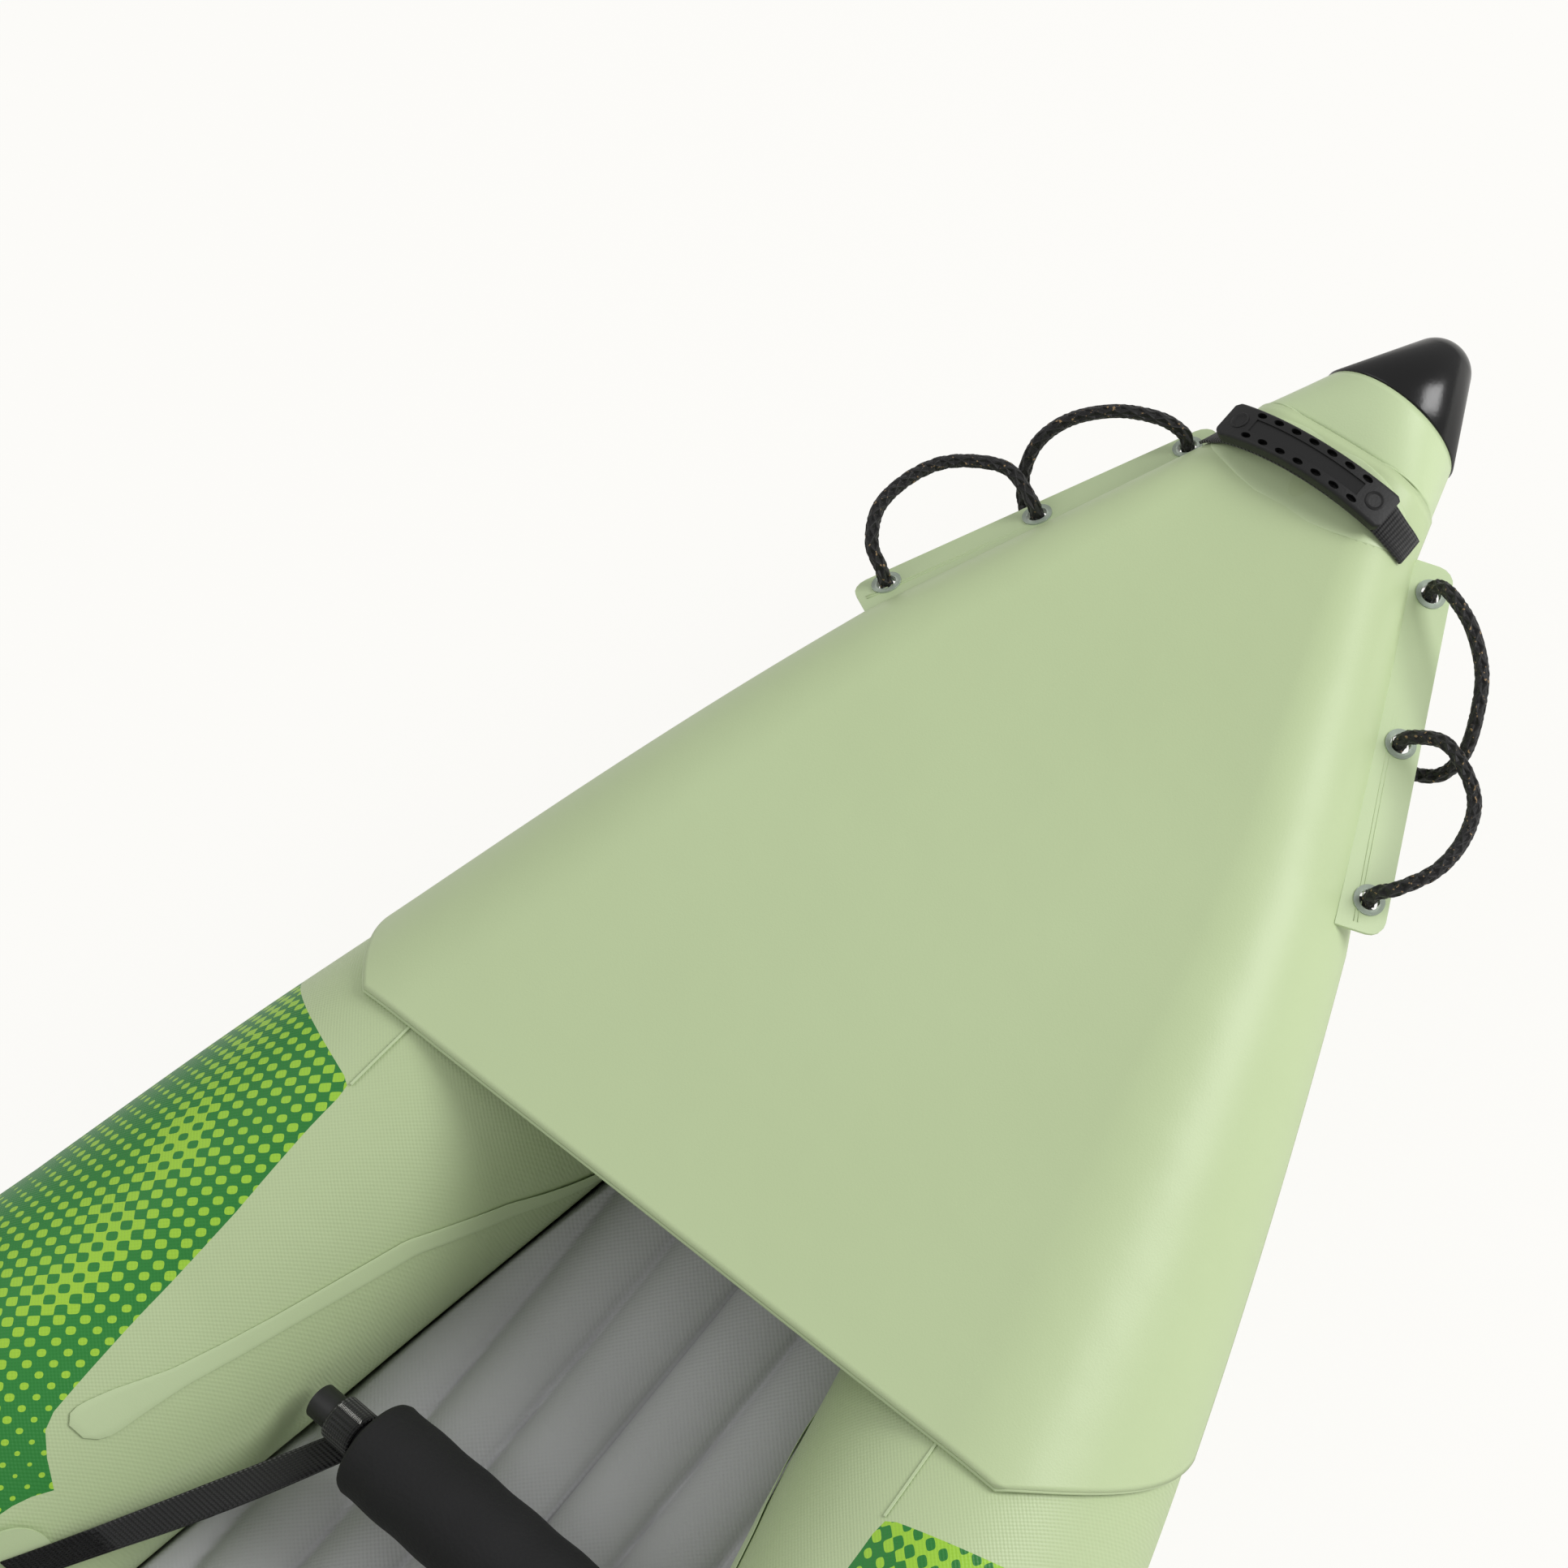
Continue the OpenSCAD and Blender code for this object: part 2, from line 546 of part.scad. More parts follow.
// Inflation valve on each side tube: body with guide bore, sprung stem, hinged cap
valve_x = axis_x(valve_y);
valve_z = axis_z(valve_y) + radius(valve_y) + 1.2;
bowl_r = valve_r - 8;
valve_h = 14;
hinge_off = valve_r - 4;
cap_z = valve_h + 2.5;
pivot_r = 2;
module on_valve(side) for_side(side) translate([valve_x, -valve_y, valve_z]) children();
module valve_body(side) color(grey) on_valve(side) difference() {
    union() {
        cylinder(r = valve_r, h = 2.4, $fn = 72);
        cylinder(r = bowl_r, h = valve_h, $fn = 72);
        for (x = [-8, 5]) translate([x, -hinge_off - 3.5, 2]) cube([3, 7, cap_z + 0.5]);
    }
    translate([0, 0, 10]) cylinder(r = bowl_r - 2.5, h = valve_h, $fn = 72);
    translate([0, 0, -1]) cylinder(r = bowl_r - 2.5, h = 7.5, $fn = 72);
    translate([0, 0, 5]) cylinder(r = stem_r + run_gap, h = 8, $fn = 48);
    translate([0, -hinge_off, cap_z]) along_x(-12, 12, pivot_r + run_gap);
}
module valve_stem(side) color(black) on_valve(side) translate([0, 0, 5.8]) cylinder(r = stem_r, h = 6.5, $fn = 48);
module valve_cap(side) color(black) on_valve(side) {
    translate([0, 0, valve_h + 0.4]) cylinder(r = bowl_r, h = 3.4, $fn = 72);
    translate([-4, -hinge_off, valve_h + 1]) cube([8, hinge_off - 10, 2.6]);
    translate([0, -hinge_off, cap_z]) along_x(-9, 9, pivot_r);
    translate([0, -hinge_off, cap_z]) along_x(-4, 4, pivot_r + 1.2);
}
module port_valve_body() valve_body(-1);
module starboard_valve_body() valve_body(1);
module port_valve_stem() valve_stem(-1);
module starboard_valve_stem() valve_stem(1);
module port_valve_cap() valve_cap(-1);
module starboard_valve_cap() valve_cap(1);

// Drain in the bottom skin behind the floor, and a base for a slide-in fin under the tail
drain_y = 1165;
drain_r = 9;
function rise_deg(y, reach) = atan((bottom_top(y + reach) - bottom_top(y - reach)) / (2 * reach));
module on_tail_skin(y, reach, off) translate([0, -y, bottom_top(y)]) rotate([-rise_deg(y, reach), 0, 0])
    translate([0, 0, off]) children();
module drain_socket() color(grey) on_tail_skin(drain_y, 24, 0.8) difference() {
    union() {
        cylinder(r = 24, h = 2.5, $fn = 64);
        cylinder(r = 14, h = 9, $fn = 64);
    }
    translate([0, 0, 1.5]) cylinder(r = drain_r + run_gap, h = 10, $fn = 64);
}
module drain_plug() color(black) on_tail_skin(drain_y, 24, 0.8) {
    translate([0, 0, 2]) cylinder(r = drain_r, h = 8, $fn = 64);
    translate([0, 0, 9.3]) cylinder(r = 14, h = 4, $fn = 64);
}
fin_y = 960;
fin_base_len = 150;
fin_base_w = 34;
fin_slot_w = 7;
fin_base_h = 9;
module fin_base() color(black)
    on_tail_skin(fin_y, fin_base_len / 2, -skin - 0.6 - fin_base_h) difference() {
        linear_extrude(fin_base_h) rounded(fin_base_w, fin_base_len, 12);
        translate([-fin_slot_w / 2, -fin_base_len / 2 - 1, -1])
            cube([fin_slot_w, fin_base_len - 20, fin_base_h - 2]);
    }

port_side_tube();
starboard_side_tube();
floor_chamber();
hull_bottom();
bow_deck();
stern_deck();
bow_sleeve();
stern_sleeve();
bow_nose_cone();
stern_nose_cone();
bow_port_flap();
bow_starboard_flap();
stern_port_flap();
stern_starboard_flap();
bow_eyelets();
stern_eyelets();
bow_port_rope();
bow_starboard_rope();
stern_port_rope();
stern_starboard_rope();
bow_rope_knots();
stern_rope_knots();
bow_handle_grip();
stern_handle_grip();
bow_handle_webbing();
stern_handle_webbing();
bow_handle_patch();
stern_handle_patch();
footrest_foam();
footrest_rod();
footrest_port_strap();
footrest_starboard_strap();
footrest_port_anchor();
footrest_starboard_anchor();
seat_cushion();
seat_backrest();
seat_hinge_rod();
seat_hinge_loops();
seat_port_anchor();
seat_starboard_anchor();
rear_port_anchor();
rear_starboard_anchor();
seat_port_ring();
seat_starboard_ring();
rear_port_ring();
rear_starboard_ring();
port_valve_body();
starboard_valve_body();
port_valve_stem();
starboard_valve_stem();
port_valve_cap();
starboard_valve_cap();
drain_socket();
drain_plug();
fin_base();
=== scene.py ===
"""Inflatable kayak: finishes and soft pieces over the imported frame, in metres, +Y to the bow."""
import math

import bmesh
import bpy
from mathutils import Matrix, Vector, noise


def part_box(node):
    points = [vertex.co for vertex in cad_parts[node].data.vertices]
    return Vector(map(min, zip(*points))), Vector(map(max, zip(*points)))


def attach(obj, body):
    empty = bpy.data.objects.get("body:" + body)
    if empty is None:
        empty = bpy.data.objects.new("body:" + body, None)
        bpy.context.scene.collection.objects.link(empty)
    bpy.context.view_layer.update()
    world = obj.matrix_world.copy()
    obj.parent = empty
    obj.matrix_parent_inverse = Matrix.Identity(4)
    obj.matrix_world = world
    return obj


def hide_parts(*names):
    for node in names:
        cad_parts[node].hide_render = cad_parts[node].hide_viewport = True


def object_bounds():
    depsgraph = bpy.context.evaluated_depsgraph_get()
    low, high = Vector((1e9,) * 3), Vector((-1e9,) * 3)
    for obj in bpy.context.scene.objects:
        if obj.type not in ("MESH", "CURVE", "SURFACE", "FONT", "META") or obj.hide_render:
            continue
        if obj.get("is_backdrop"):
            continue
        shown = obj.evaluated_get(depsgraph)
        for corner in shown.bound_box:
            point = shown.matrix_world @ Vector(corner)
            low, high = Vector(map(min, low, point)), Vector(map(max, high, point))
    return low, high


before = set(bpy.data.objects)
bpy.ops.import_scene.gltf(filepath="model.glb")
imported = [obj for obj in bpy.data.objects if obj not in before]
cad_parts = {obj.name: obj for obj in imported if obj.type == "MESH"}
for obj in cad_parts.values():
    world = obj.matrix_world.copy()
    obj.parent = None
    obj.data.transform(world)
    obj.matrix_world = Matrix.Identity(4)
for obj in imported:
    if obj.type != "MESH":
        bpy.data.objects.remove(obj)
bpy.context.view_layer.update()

# ---------------------------------------------------------------- camera
camera_data = bpy.data.cameras.new("camera")
camera_data.lens = 80.4
camera_data.sensor_width = 36
camera = bpy.data.objects.new("camera", camera_data)
bpy.context.scene.collection.objects.link(camera)
right = Vector((0.7398, 0.6481, -0.1807)).normalized()
back = Vector((0.4278, -0.2459, 0.8698))
back = (back - right * back.dot(right)).normalized()
up = back.cross(right)
place = Matrix((right, up, back)).transposed().to_4x4()
place.translation = Vector((0.6745, 0.6696, 1.8016))
camera.matrix_world = place
bpy.context.scene.camera = camera
bpy.context.scene.view_settings.view_transform = "Standard"


# ---------------------------------------------------------------- materials
def colour(hex_text):
    """Linear RGBA of an sRGB hex colour."""
    values = [int(hex_text[i:i + 2], 16) / 255 for i in (0, 2, 4)]
    linear = [v / 12.92 if v <= 0.04045 else ((v + 0.055) / 1.055) ** 2.4 for v in values]
    return (*linear, 1)


class Finish:
    """One material and its node tree."""

    def __init__(self, name, base, roughness, **sockets):
        self.material = bpy.data.materials.new(name)
        self.material.use_nodes = True
        self.tree = self.material.node_tree
        self.shader = self.tree.nodes["Principled BSDF"]
        self.shader.inputs["Base Color"].default_value = colour(base)
        self.shader.inputs["Roughness"].default_value = roughness
        for socket, value in sockets.items():
            self.shader.inputs[socket.replace("_", " ")].default_value = value

    def add(self, kind, inputs=None, **settings):
        """Adds a node; an input is a value or another node's output socket."""
        node = self.tree.nodes.new("ShaderNode" + kind)
        for key, value in settings.items():
            setattr(node, key, value)
        for key, value in (inputs or {}).items():
            if isinstance(value, bpy.types.NodeSocket):
                self.tree.links.new(value, node.inputs[key])
            else:
                node.inputs[key].default_value = value
        return node

    def math(self, operation, first, second=0.0):
        return self.add("Math", {0: first, 1: second}, operation=operation).outputs[0]

    def place(self):
        return self.add("TexCoord").outputs["Object"]

    def uv(self):
        return self.add("UVMap").outputs["UV"]

    def mix(self, share, first, second):
        node = self.add("Mix", {0: share, 6: first, 7: second}, data_type="RGBA")
        return node.outputs[2]

    def set(self, socket, output):
        self.tree.links.new(output, self.shader.inputs[socket])

    def bump(self, height, distance, strength=1.0, under=None):
        inputs = {"Height": height, "Distance": distance, "Strength": strength}
        if under is not None:
            inputs["Normal"] = under
        return self.add("Bump", inputs).outputs["Normal"]


def mottled(finish, base, other, scale, share):
    """Slight large-scale colour variation, as handling marks leave."""
    spots = finish.add("TexNoise", {"Vector": finish.place(), "Scale": scale, "Detail": 3.0})
    level = finish.math("MULTIPLY", spots.outputs["Fac"], share)
    return finish.mix(level, colour(base), colour(other))


def woven(finish, pitch, vector, under=None, depth=0.00012):
    """Scrim under a coating: two crossed sets of threads at the given pitch in metres."""
    turn = 2 * math.pi / pitch
    parts = finish.add("SeparateXYZ", {0: vector})
    one = finish.math("SINE", finish.math("MULTIPLY", parts.outputs[0], turn))
    two = finish.math("SINE", finish.math("MULTIPLY", parts.outputs[1], turn))
    return finish.bump(finish.math("MULTIPLY", one, two), depth, 0.6, under)


def tarpaulin(name, base, darker, roughness=0.42, with_weave=True):
    """PVC-coated polyester tarpaulin: calendered, so a soft broad sheen over faint ripples and scrim."""
    f = Finish(name, base, roughness, Specular_IOR_Level=0.4)
    f.set("Base Color", mottled(f, base, darker, 5.0, 0.5))
    ripple = f.add("TexNoise", {"Vector": f.place(), "Scale": 16.0, "Detail": 2.0})
    normal = f.bump(ripple.outputs["Fac"], 0.0022, 0.55)
    pores = f.add("TexNoise", {"Vector": f.place(), "Scale": 900.0, "Detail": 1.0})
    normal = f.bump(pores.outputs["Fac"], 0.00012, 0.5, normal)
    if with_weave:
        # thread spacing is 1 mm on the real cloth; 2.4 mm is the finest that shows
        normal = woven(f, 0.0024, f.place(), normal)
    f.set("Normal", normal)
    return f


PALE = "BFD0A3"
green_deck = tarpaulin("sage_tarpaulin_stretched", PALE, "B1C192", with_weave=False).material
green_trim = tarpaulin("sage_tarpaulin_welded", "C3D4A9", "B5C598", 0.38, False).material
green_bottom = tarpaulin("sage_tarpaulin_underside", "8FA574", "7F9664").material


def printed_tube():
    """Tarpaulin tube with a two-tone halftone print; the print's edge and tone are stored on the mesh."""
    f = tarpaulin("sage_tarpaulin_tube", "BCCDA0", "AEBE90")
    plain = f.shader.inputs["Base Color"].links[0].from_socket
    edge = f.add("Attribute", attribute_name="print_edge").outputs["Fac"]
    tone = f.add("Attribute", attribute_name="print_tone").outputs["Fac"]
    parts = f.add("SeparateXYZ", {0: f.uv()})
    # dots sit on a square grid turned by 45 degrees, 7.5 mm apart
    turn = math.pi * 2 / 0.018
    a = f.math("SINE", f.math("MULTIPLY", f.math("ADD", parts.outputs[0], parts.outputs[1]), turn))
    b = f.math("SINE", f.math("MULTIPLY", f.math("SUBTRACT", parts.outputs[0], parts.outputs[1]), turn))
    screen = f.math("MULTIPLY", a, b)
    level = f.math("SUBTRACT", f.math("MULTIPLY", tone, 2.0), 1.0)
    dots = f.math("GREATER_THAN", level, screen)
    cloud = f.add("TexNoise", {"Vector": f.place(), "Scale": 4.0}).outputs["Fac"]
    dark = f.mix(cloud, colour("1F6E2C"), colour("2E8A38"))
    lime = f.mix(cloud, colour("8FC43A"), colour("A6D23C"))
    ink = f.mix(dots, dark, lime)
    inside = f.math("GREATER_THAN", edge, 0.0)
    f.set("Base Color", f.mix(inside, plain, ink))
    return f.material


green_tube = printed_tube()


def floor_cloth():
    """Grey PVC floor: matt calendered skin over drop channels, with a faint random mottle."""
    f = Finish("grey_tarpaulin_floor", "94959A", 0.5)
    f.set("Base Color", mottled(f, "C2C3C4", "AEAFB1", 6.0, 0.7))
    grain = f.add("TexNoise", {"Vector": f.place(), "Scale": 24.0, "Detail": 3.0})
    normal = f.bump(grain.outputs["Fac"], 0.0014, 0.5)
    # each channel seam is welded along two lines 6 mm apart
    across = f.add("SeparateXYZ", {0: f.place()}).outputs[0]
    seam = f.math("PINGPONG", f.math("ADD", across, 0.9), 0.0225)
    line = f.math("LESS_THAN", f.math("ABSOLUTE", f.math("SUBTRACT", seam, 0.003)), 0.0006)
    normal = f.bump(f.math("MULTIPLY", line, -1.0), 0.0006, 0.7, normal)
    f.set("Normal", woven(f, 0.003, f.place(), normal))
    return f.material


def moulded(name, base, roughness, grain, depth):
    """Injection-moulded plastic or rubber with a spark-eroded grain."""
    f = Finish(name, base, roughness)
    speck = f.add("TexNoise", {"Vector": f.place(), "Scale": grain, "Detail": 2.0})
    f.set("Normal", f.bump(speck.outputs["Fac"], depth, 0.6))
    worn = f.add("TexNoise", {"Vector": f.place(), "Scale": 40.0})
    f.set("Roughness", f.math("ADD", f.math("MULTIPLY", worn.outputs["Fac"], 0.12), roughness - 0.06))
    return f.material


def ribbed_webbing():
    """Polypropylene webbing: ribs across its width 1.4 mm apart, with a fibre sheen and painted shade in the
    rib troughs.
    """
    f = Finish("polypropylene_webbing", "1B1B1D", 0.62, Sheen_Weight=0.15)
    parts = f.add("SeparateXYZ", {0: f.uv()})
    ribs = f.math("SINE", f.math("MULTIPLY", parts.outputs[1], 2 * math.pi / 0.0026))
    threads = f.math("SINE", f.math("MULTIPLY", parts.outputs[0], 2 * math.pi / 0.0015))
    normal = f.bump(ribs, 0.0005, 0.8)
    f.set("Normal", f.bump(threads, 0.0002, 0.5, normal))
    # painted shade: the colour follows the rib bump, darker in the rib troughs and lighter on the rib crests
    share = f.math("MULTIPLY", f.math("ADD", ribs, 1.0), 0.25)
    f.set("Base Color", f.mix(share, colour("09090A"), colour("1E1E20")))
    return f.material


def braided_rope():
    """Braided polyester: diagonal strands 4 mm long, with painted shade between the strands and a few tan
    tracer fibres.
    """
    f = Finish("braided_polyester", "0C0C0E", 0.6, Sheen_Weight=0.05)
    parts = f.add("SeparateXYZ", {0: f.uv()})
    around = f.math("MULTIPLY", parts.outputs[0], 2 * math.pi * 4)
    along = f.math("MULTIPLY", parts.outputs[1], 2 * math.pi / 0.009)
    one = f.math("SINE", f.math("ADD", around, along))
    two = f.math("SINE", f.math("SUBTRACT", around, along))
    strands = f.math("MAXIMUM", one, two)
    f.set("Normal", f.bump(strands, 0.0012, 1.0))
    fleck = f.add("TexNoise", {"Vector": f.place(), "Scale": 420.0, "Detail": 1.0}).outputs["Fac"]
    tan = f.math("GREATER_THAN", f.math("MULTIPLY", fleck, f.math("GREATER_THAN", strands, 0.6)), 0.67)
    # painted shade: the colour follows the strand bump, darker in the hollows between strands and lighter on
    # the strand crests
    dark = f.mix(f.math("MULTIPLY", f.math("ADD", strands, 1.0), 0.4), colour("030304"), colour("171617"))
    f.set("Base Color", f.mix(tan, dark, colour("8C7350")))
    return f.material


def foam():
    """Closed-cell EVA foam: matt black skin with fine pits."""
    f = Finish("eva_foam_black", "101012", 0.82)
    pits = f.add("TexVoronoi", {"Vector": f.place(), "Scale": 420.0})
    normal = f.bump(pits.outputs["Distance"], 0.0004, 0.5)
    dents = f.add("TexNoise", {"Vector": f.place(), "Scale": 14.0, "Detail": 2.0})
    f.set("Normal", f.bump(dents.outputs["Fac"], 0.0015, 0.5, normal))
    f.set("Base Color", mottled(f, "0C0C0E", "1B1B1D", 30.0, 0.7))
    return f.material


def seat_cloth(name, base, lighter):
    """Coarse 600D polyester: plain weave at 1 mm, drawn at 2 mm so that it shows."""
    f = Finish(name, base, 0.75, Sheen_Weight=0.2)
    weave = woven(f, 0.002, f.place(), depth=0.0003)
    puckers = f.add("TexNoise", {"Vector": f.place(), "Scale": 18.0, "Detail": 3.0})
    f.set("Normal", f.bump(puckers.outputs["Fac"], 0.002, 0.5, weave))
    f.set("Base Color", mottled(f, base, lighter, 60.0, 0.8))
    return f.material


def wire():
    """Stainless wire, drawn and bent: fine lengthwise scratches."""
    f = Finish("stainless_wire", "B4B6B8", 0.28, Metallic=1.0)
    scratch = f.add("TexNoise", {"Vector": f.place(), "Scale": 300.0, "Detail": 2.0})
    f.set("Normal", f.bump(scratch.outputs["Fac"], 0.0001, 0.4))
    return f.material


def clear_ring():
    """Clear PVC eyelet: greenish, glossy, lets the tarpaulin show through."""
    f = Finish("clear_pvc_ring", "D3DFD2", 0.12, Transmission_Weight=0.55, IOR=1.49)
    haze = f.add("TexNoise", {"Vector": f.place(), "Scale": 250.0})
    f.set("Normal", f.bump(haze.outputs["Fac"], 0.0002, 0.4))
    return f.material


grey_floor = floor_cloth()
black_cone = moulded("abs_satin_black", "020203", 0.22, 500.0, 0.00008)
black_rubber = moulded("elastomer_black", "0D0D0E", 0.55, 700.0, 0.0002)
black_plastic = moulded("polypropylene_black", "1A1A1C", 0.42, 500.0, 0.0001)
grey_plastic = moulded("polypropylene_grey", "5A5C5E", 0.45, 500.0, 0.0001)
webbing_finish = ribbed_webbing()
rope_finish = braided_rope()
foam_finish = foam()
seat_finish = seat_cloth("polyester_600d_charcoal", "33373B", "41464B")
seat_edge_finish = seat_cloth("polyester_600d_black", "17181A", "232427")
wire_finish = wire()
clear_finish = clear_ring()
thread_finish = seat_cloth("bonded_nylon_thread", "D8D8D2", "F0F0EA")


# ---------------------------------------------------------------- hull shape, in metres
TUBE_END, CREASE, NOSE = 1.426, 1.236, 1.493
DECK_LIFT = 0.0024


def beam(y):
    a = abs(y)
    if a < CREASE:
        return 0.415 - 0.25481 * (a / CREASE) ** 2.03
    if a < TUBE_END:
        return 0.16019 - 0.09819 * (a - CREASE) / (TUBE_END - CREASE)
    return 0.062 - 0.019 * (a - TUBE_END) / (NOSE - TUBE_END)


def radius(y):
    a = abs(y)
    body, end = 0.112 * (1 - 0.46 * (a / 1.555) ** 2), 0.032 + (TUBE_END - a) * 0.13
    soft = (body + end - math.hypot(body - end, 0.005)) / 2
    return min(soft, beam(y) / 2 - 0.0002)


def sheer(y):
    c = min(1, max(0, (abs(y) - 0.9) / 0.3))
    return 0.201 + 0.005 * c * c * (3 - 2 * c)


def axis_x(y):
    return beam(y) - radius(y)


def axis_z(y):
    return max(radius(y) * math.cos(math.pi / 36), sheer(y) - radius(y))


def on_tube(y, degrees, off=0.0, side=1):
    a, r = math.radians(degrees), radius(y) + off
    return Vector((side * (axis_x(y) + r * math.sin(a)), y, axis_z(y) + r * math.cos(a)))


def over_hull(y, s, off):
    """Point on a skin stretched over both tubes, at a girth distance from the middle."""
    flat, a = axis_x(y), abs(s)
    if a <= flat:
        return Vector((s, y, axis_z(y) + radius(y) + off))
    return on_tube(y, math.degrees((a - flat) / radius(y)), off, 1 if s > 0 else -1)


def inner_x(y, z):
    return axis_x(y) - math.sqrt(max(0, (radius(y) + 0.0004) ** 2 - (z - axis_z(y)) ** 2))


def floor_base(y):
    return on_tube(y, 215, 0.0004).z + 0.0004


def spread(a, b, n):
    return [a + (b - a) * i / n for i in range(n + 1)]


def track(table, x):
    """Reads a value off a line of (x, value...) rows."""
    if x <= table[0][0]:
        return table[0][1:]
    for one, two in zip(table, table[1:]):
        if x <= two[0]:
            t = (x - one[0]) / (two[0] - one[0])
            return tuple(a + (b - a) * t for a, b in zip(one[1:], two[1:]))
    return table[-1][1:]


# ---------------------------------------------------------------- mesh making
def make(name, points, faces, finish, uvs=None, smooth=True):
    """A mesh object at the origin, with faces outward and no doubled points."""
    mesh = bpy.data.meshes.new(name)
    mesh.from_pydata([tuple(p) for p in points], [], faces)
    if uvs:
        layer = mesh.uv_layers.new(name="UVMap")
        flat = [uv for face in uvs for uv in face]
        for i, uv in enumerate(flat):
            layer.data[i].uv = uv
    bm = bmesh.new()
    bm.from_mesh(mesh)
    bmesh.ops.remove_doubles(bm, verts=bm.verts, dist=1e-6)
    bmesh.ops.recalc_face_normals(bm, faces=bm.faces)
    bm.to_mesh(mesh)
    bm.free()
    for polygon in mesh.polygons:
        polygon.use_smooth = smooth
    mesh.materials.append(finish)
    piece = bpy.data.objects.new(name, mesh)
    bpy.context.scene.collection.objects.link(piece)
    return piece


def skin(name, rows, finish, closed=False, caps=False, scale=1.0):
    """Quads between rows of points; the UV is girth and length in metres."""
    n, m = len(rows[0]), len(rows)
    across, along = [0.0], [0.0]
    middle = rows[m // 2]
    for j in range(1, n + 1):
        across.append(across[-1] + (middle[j % n] - middle[j - 1]).length)
    for i in range(1, m):
        along.append(along[-1] + (rows[i][n // 2] - rows[i - 1][n // 2]).length)
    faces, uvs = [], []
    for i in range(m - 1):
        for j in range(n if closed else n - 1):
            k = (j + 1) % n
            faces.append((i * n + j, i * n + k, (i + 1) * n + k, (i + 1) * n + j))
            uvs.append([(across[j] * scale, along[i]), (across[j + 1] * scale, along[i]),
                        (across[j + 1] * scale, along[i + 1]), (across[j] * scale, along[i + 1])])
    if caps:
        for row in (0, m - 1):
            ring = [row * n + j for j in range(n)]
            faces.append(ring)
            uvs.append([(across[j] * scale, along[row]) for j in range(n)])
    return make(name, [p for row in rows for p in row], faces, finish, uvs)


def thicken(piece, thickness, bevel=0.0):
    wall = piece.modifiers.new("wall", "SOLIDIFY")
    wall.thickness, wall.offset = thickness, -1
    if bevel:
        edge = piece.modifiers.new("edge", "BEVEL")
        edge.width, edge.segments, edge.limit_method = bevel, 2, "ANGLE"
    return piece


def smooth_path(points, steps):
    """Catmull-Rom line through the points."""
    line = []
    for i in range(len(points) - 1):
        a, b = points[max(0, i - 1)], points[i]
        c, d = points[i + 1], points[min(len(points) - 1, i + 2)]
        for k in range(steps):
            t = k / steps
            line.append(0.5 * (2 * b + (c - a) * t + (2 * a - 5 * b + 4 * c - d) * t * t
                               + (3 * b - a - 3 * c + d) * t ** 3))
    return line + [points[-1]]


def tube_along(name, path, r, finish, sides=10, shape=None, loop=False):
    """Round tube on a path, with a frame carried along it; shape(angle, length) swells it."""
    rows, length, last = [], 0.0, Vector((0.12, 0.31, 0.94))
    for i, p in enumerate(path):
        ahead = path[(i + 1) % len(path)] if loop else path[min(len(path) - 1, i + 1)]
        behind = path[i - 1] if loop or i else path[0]
        tangent = (ahead - behind).normalized()
        last = (last - tangent * last.dot(tangent)).normalized()
        other = tangent.cross(last)
        if i:
            length += (p - path[i - 1]).length
        row = []
        for j in range(sides):
            a = 2 * math.pi * j / sides
            swell = shape(a, length) if shape else 1.0
            row.append(p + (last * math.cos(a) + other * math.sin(a)) * r * swell)
        rows.append(row)
    if loop:
        rows.append(rows[0])
    return skin(name, rows, finish, closed=True, caps=not loop, scale=1 / (2 * math.pi * r)), length


def lathe(name, profile, origin, axis, finish, turns=96):
    """Turns (radius, height) pairs about an axis through origin."""
    axis = Vector(axis).normalized()
    side = axis.orthogonal().normalized()
    other = axis.cross(side)
    rows = []
    for r, h in profile:
        rows.append([Vector(origin) + axis * h + (side * math.cos(a) + other * math.sin(a)) * max(r, 1e-5)
                     for a in [2 * math.pi * j / turns for j in range(turns)]])
    return skin(name, rows, finish, closed=True)


def join(pieces, name):
    """One object of several, with their modifiers applied first."""
    graph = bpy.context.evaluated_depsgraph_get()
    total = bmesh.new()
    total.loops.layers.uv.new("UVMap")
    for piece in pieces:
        shape = bpy.data.meshes.new_from_object(piece.evaluated_get(graph))
        total.from_mesh(shape)
    mesh = bpy.data.meshes.new(name)
    total.to_mesh(mesh)
    total.free()
    mesh.materials.append(pieces[0].data.materials[0])
    for polygon in mesh.polygons:
        polygon.material_index = 0
    for piece in pieces:
        bpy.data.objects.remove(piece)
    joined = bpy.data.objects.new(name, mesh)
    bpy.context.scene.collection.objects.link(joined)
    return joined


def hand_over(piece, slot, *nodes, body="hull"):
    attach(piece, body)
    if nodes:
        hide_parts(*nodes)
    return piece


ENDS = (("bow", 1), ("stern", -1))
SIDES = (("port", -1), ("starboard", 1))

# ---------------------------------------------------------------- deck ropes
ROPE = [(162, 1257, 168), (164, 1258, 174), (167, 1260, 181), (177, 1266, 189), (187, 1284, 192),
        (187, 1306, 191), (179, 1326, 190), (163, 1339, 190), (145, 1346, 188), (127, 1341, 181),
        (122, 1339, 171), (119, 1338, 160), (121, 1338, 149), (130, 1342, 141), (142, 1348, 146),
        (149, 1358, 162), (147, 1372, 181), (137, 1390, 190), (118, 1407, 193), (97, 1418, 190),
        (85, 1422, 181), (82, 1421, 174), (81, 1420, 168)]


def strand_swell(a, length):
    wave = length / 0.009 * 2 * math.pi
    return 0.93 + 0.12 * max(math.sin(4 * a + wave), math.sin(4 * a - wave))


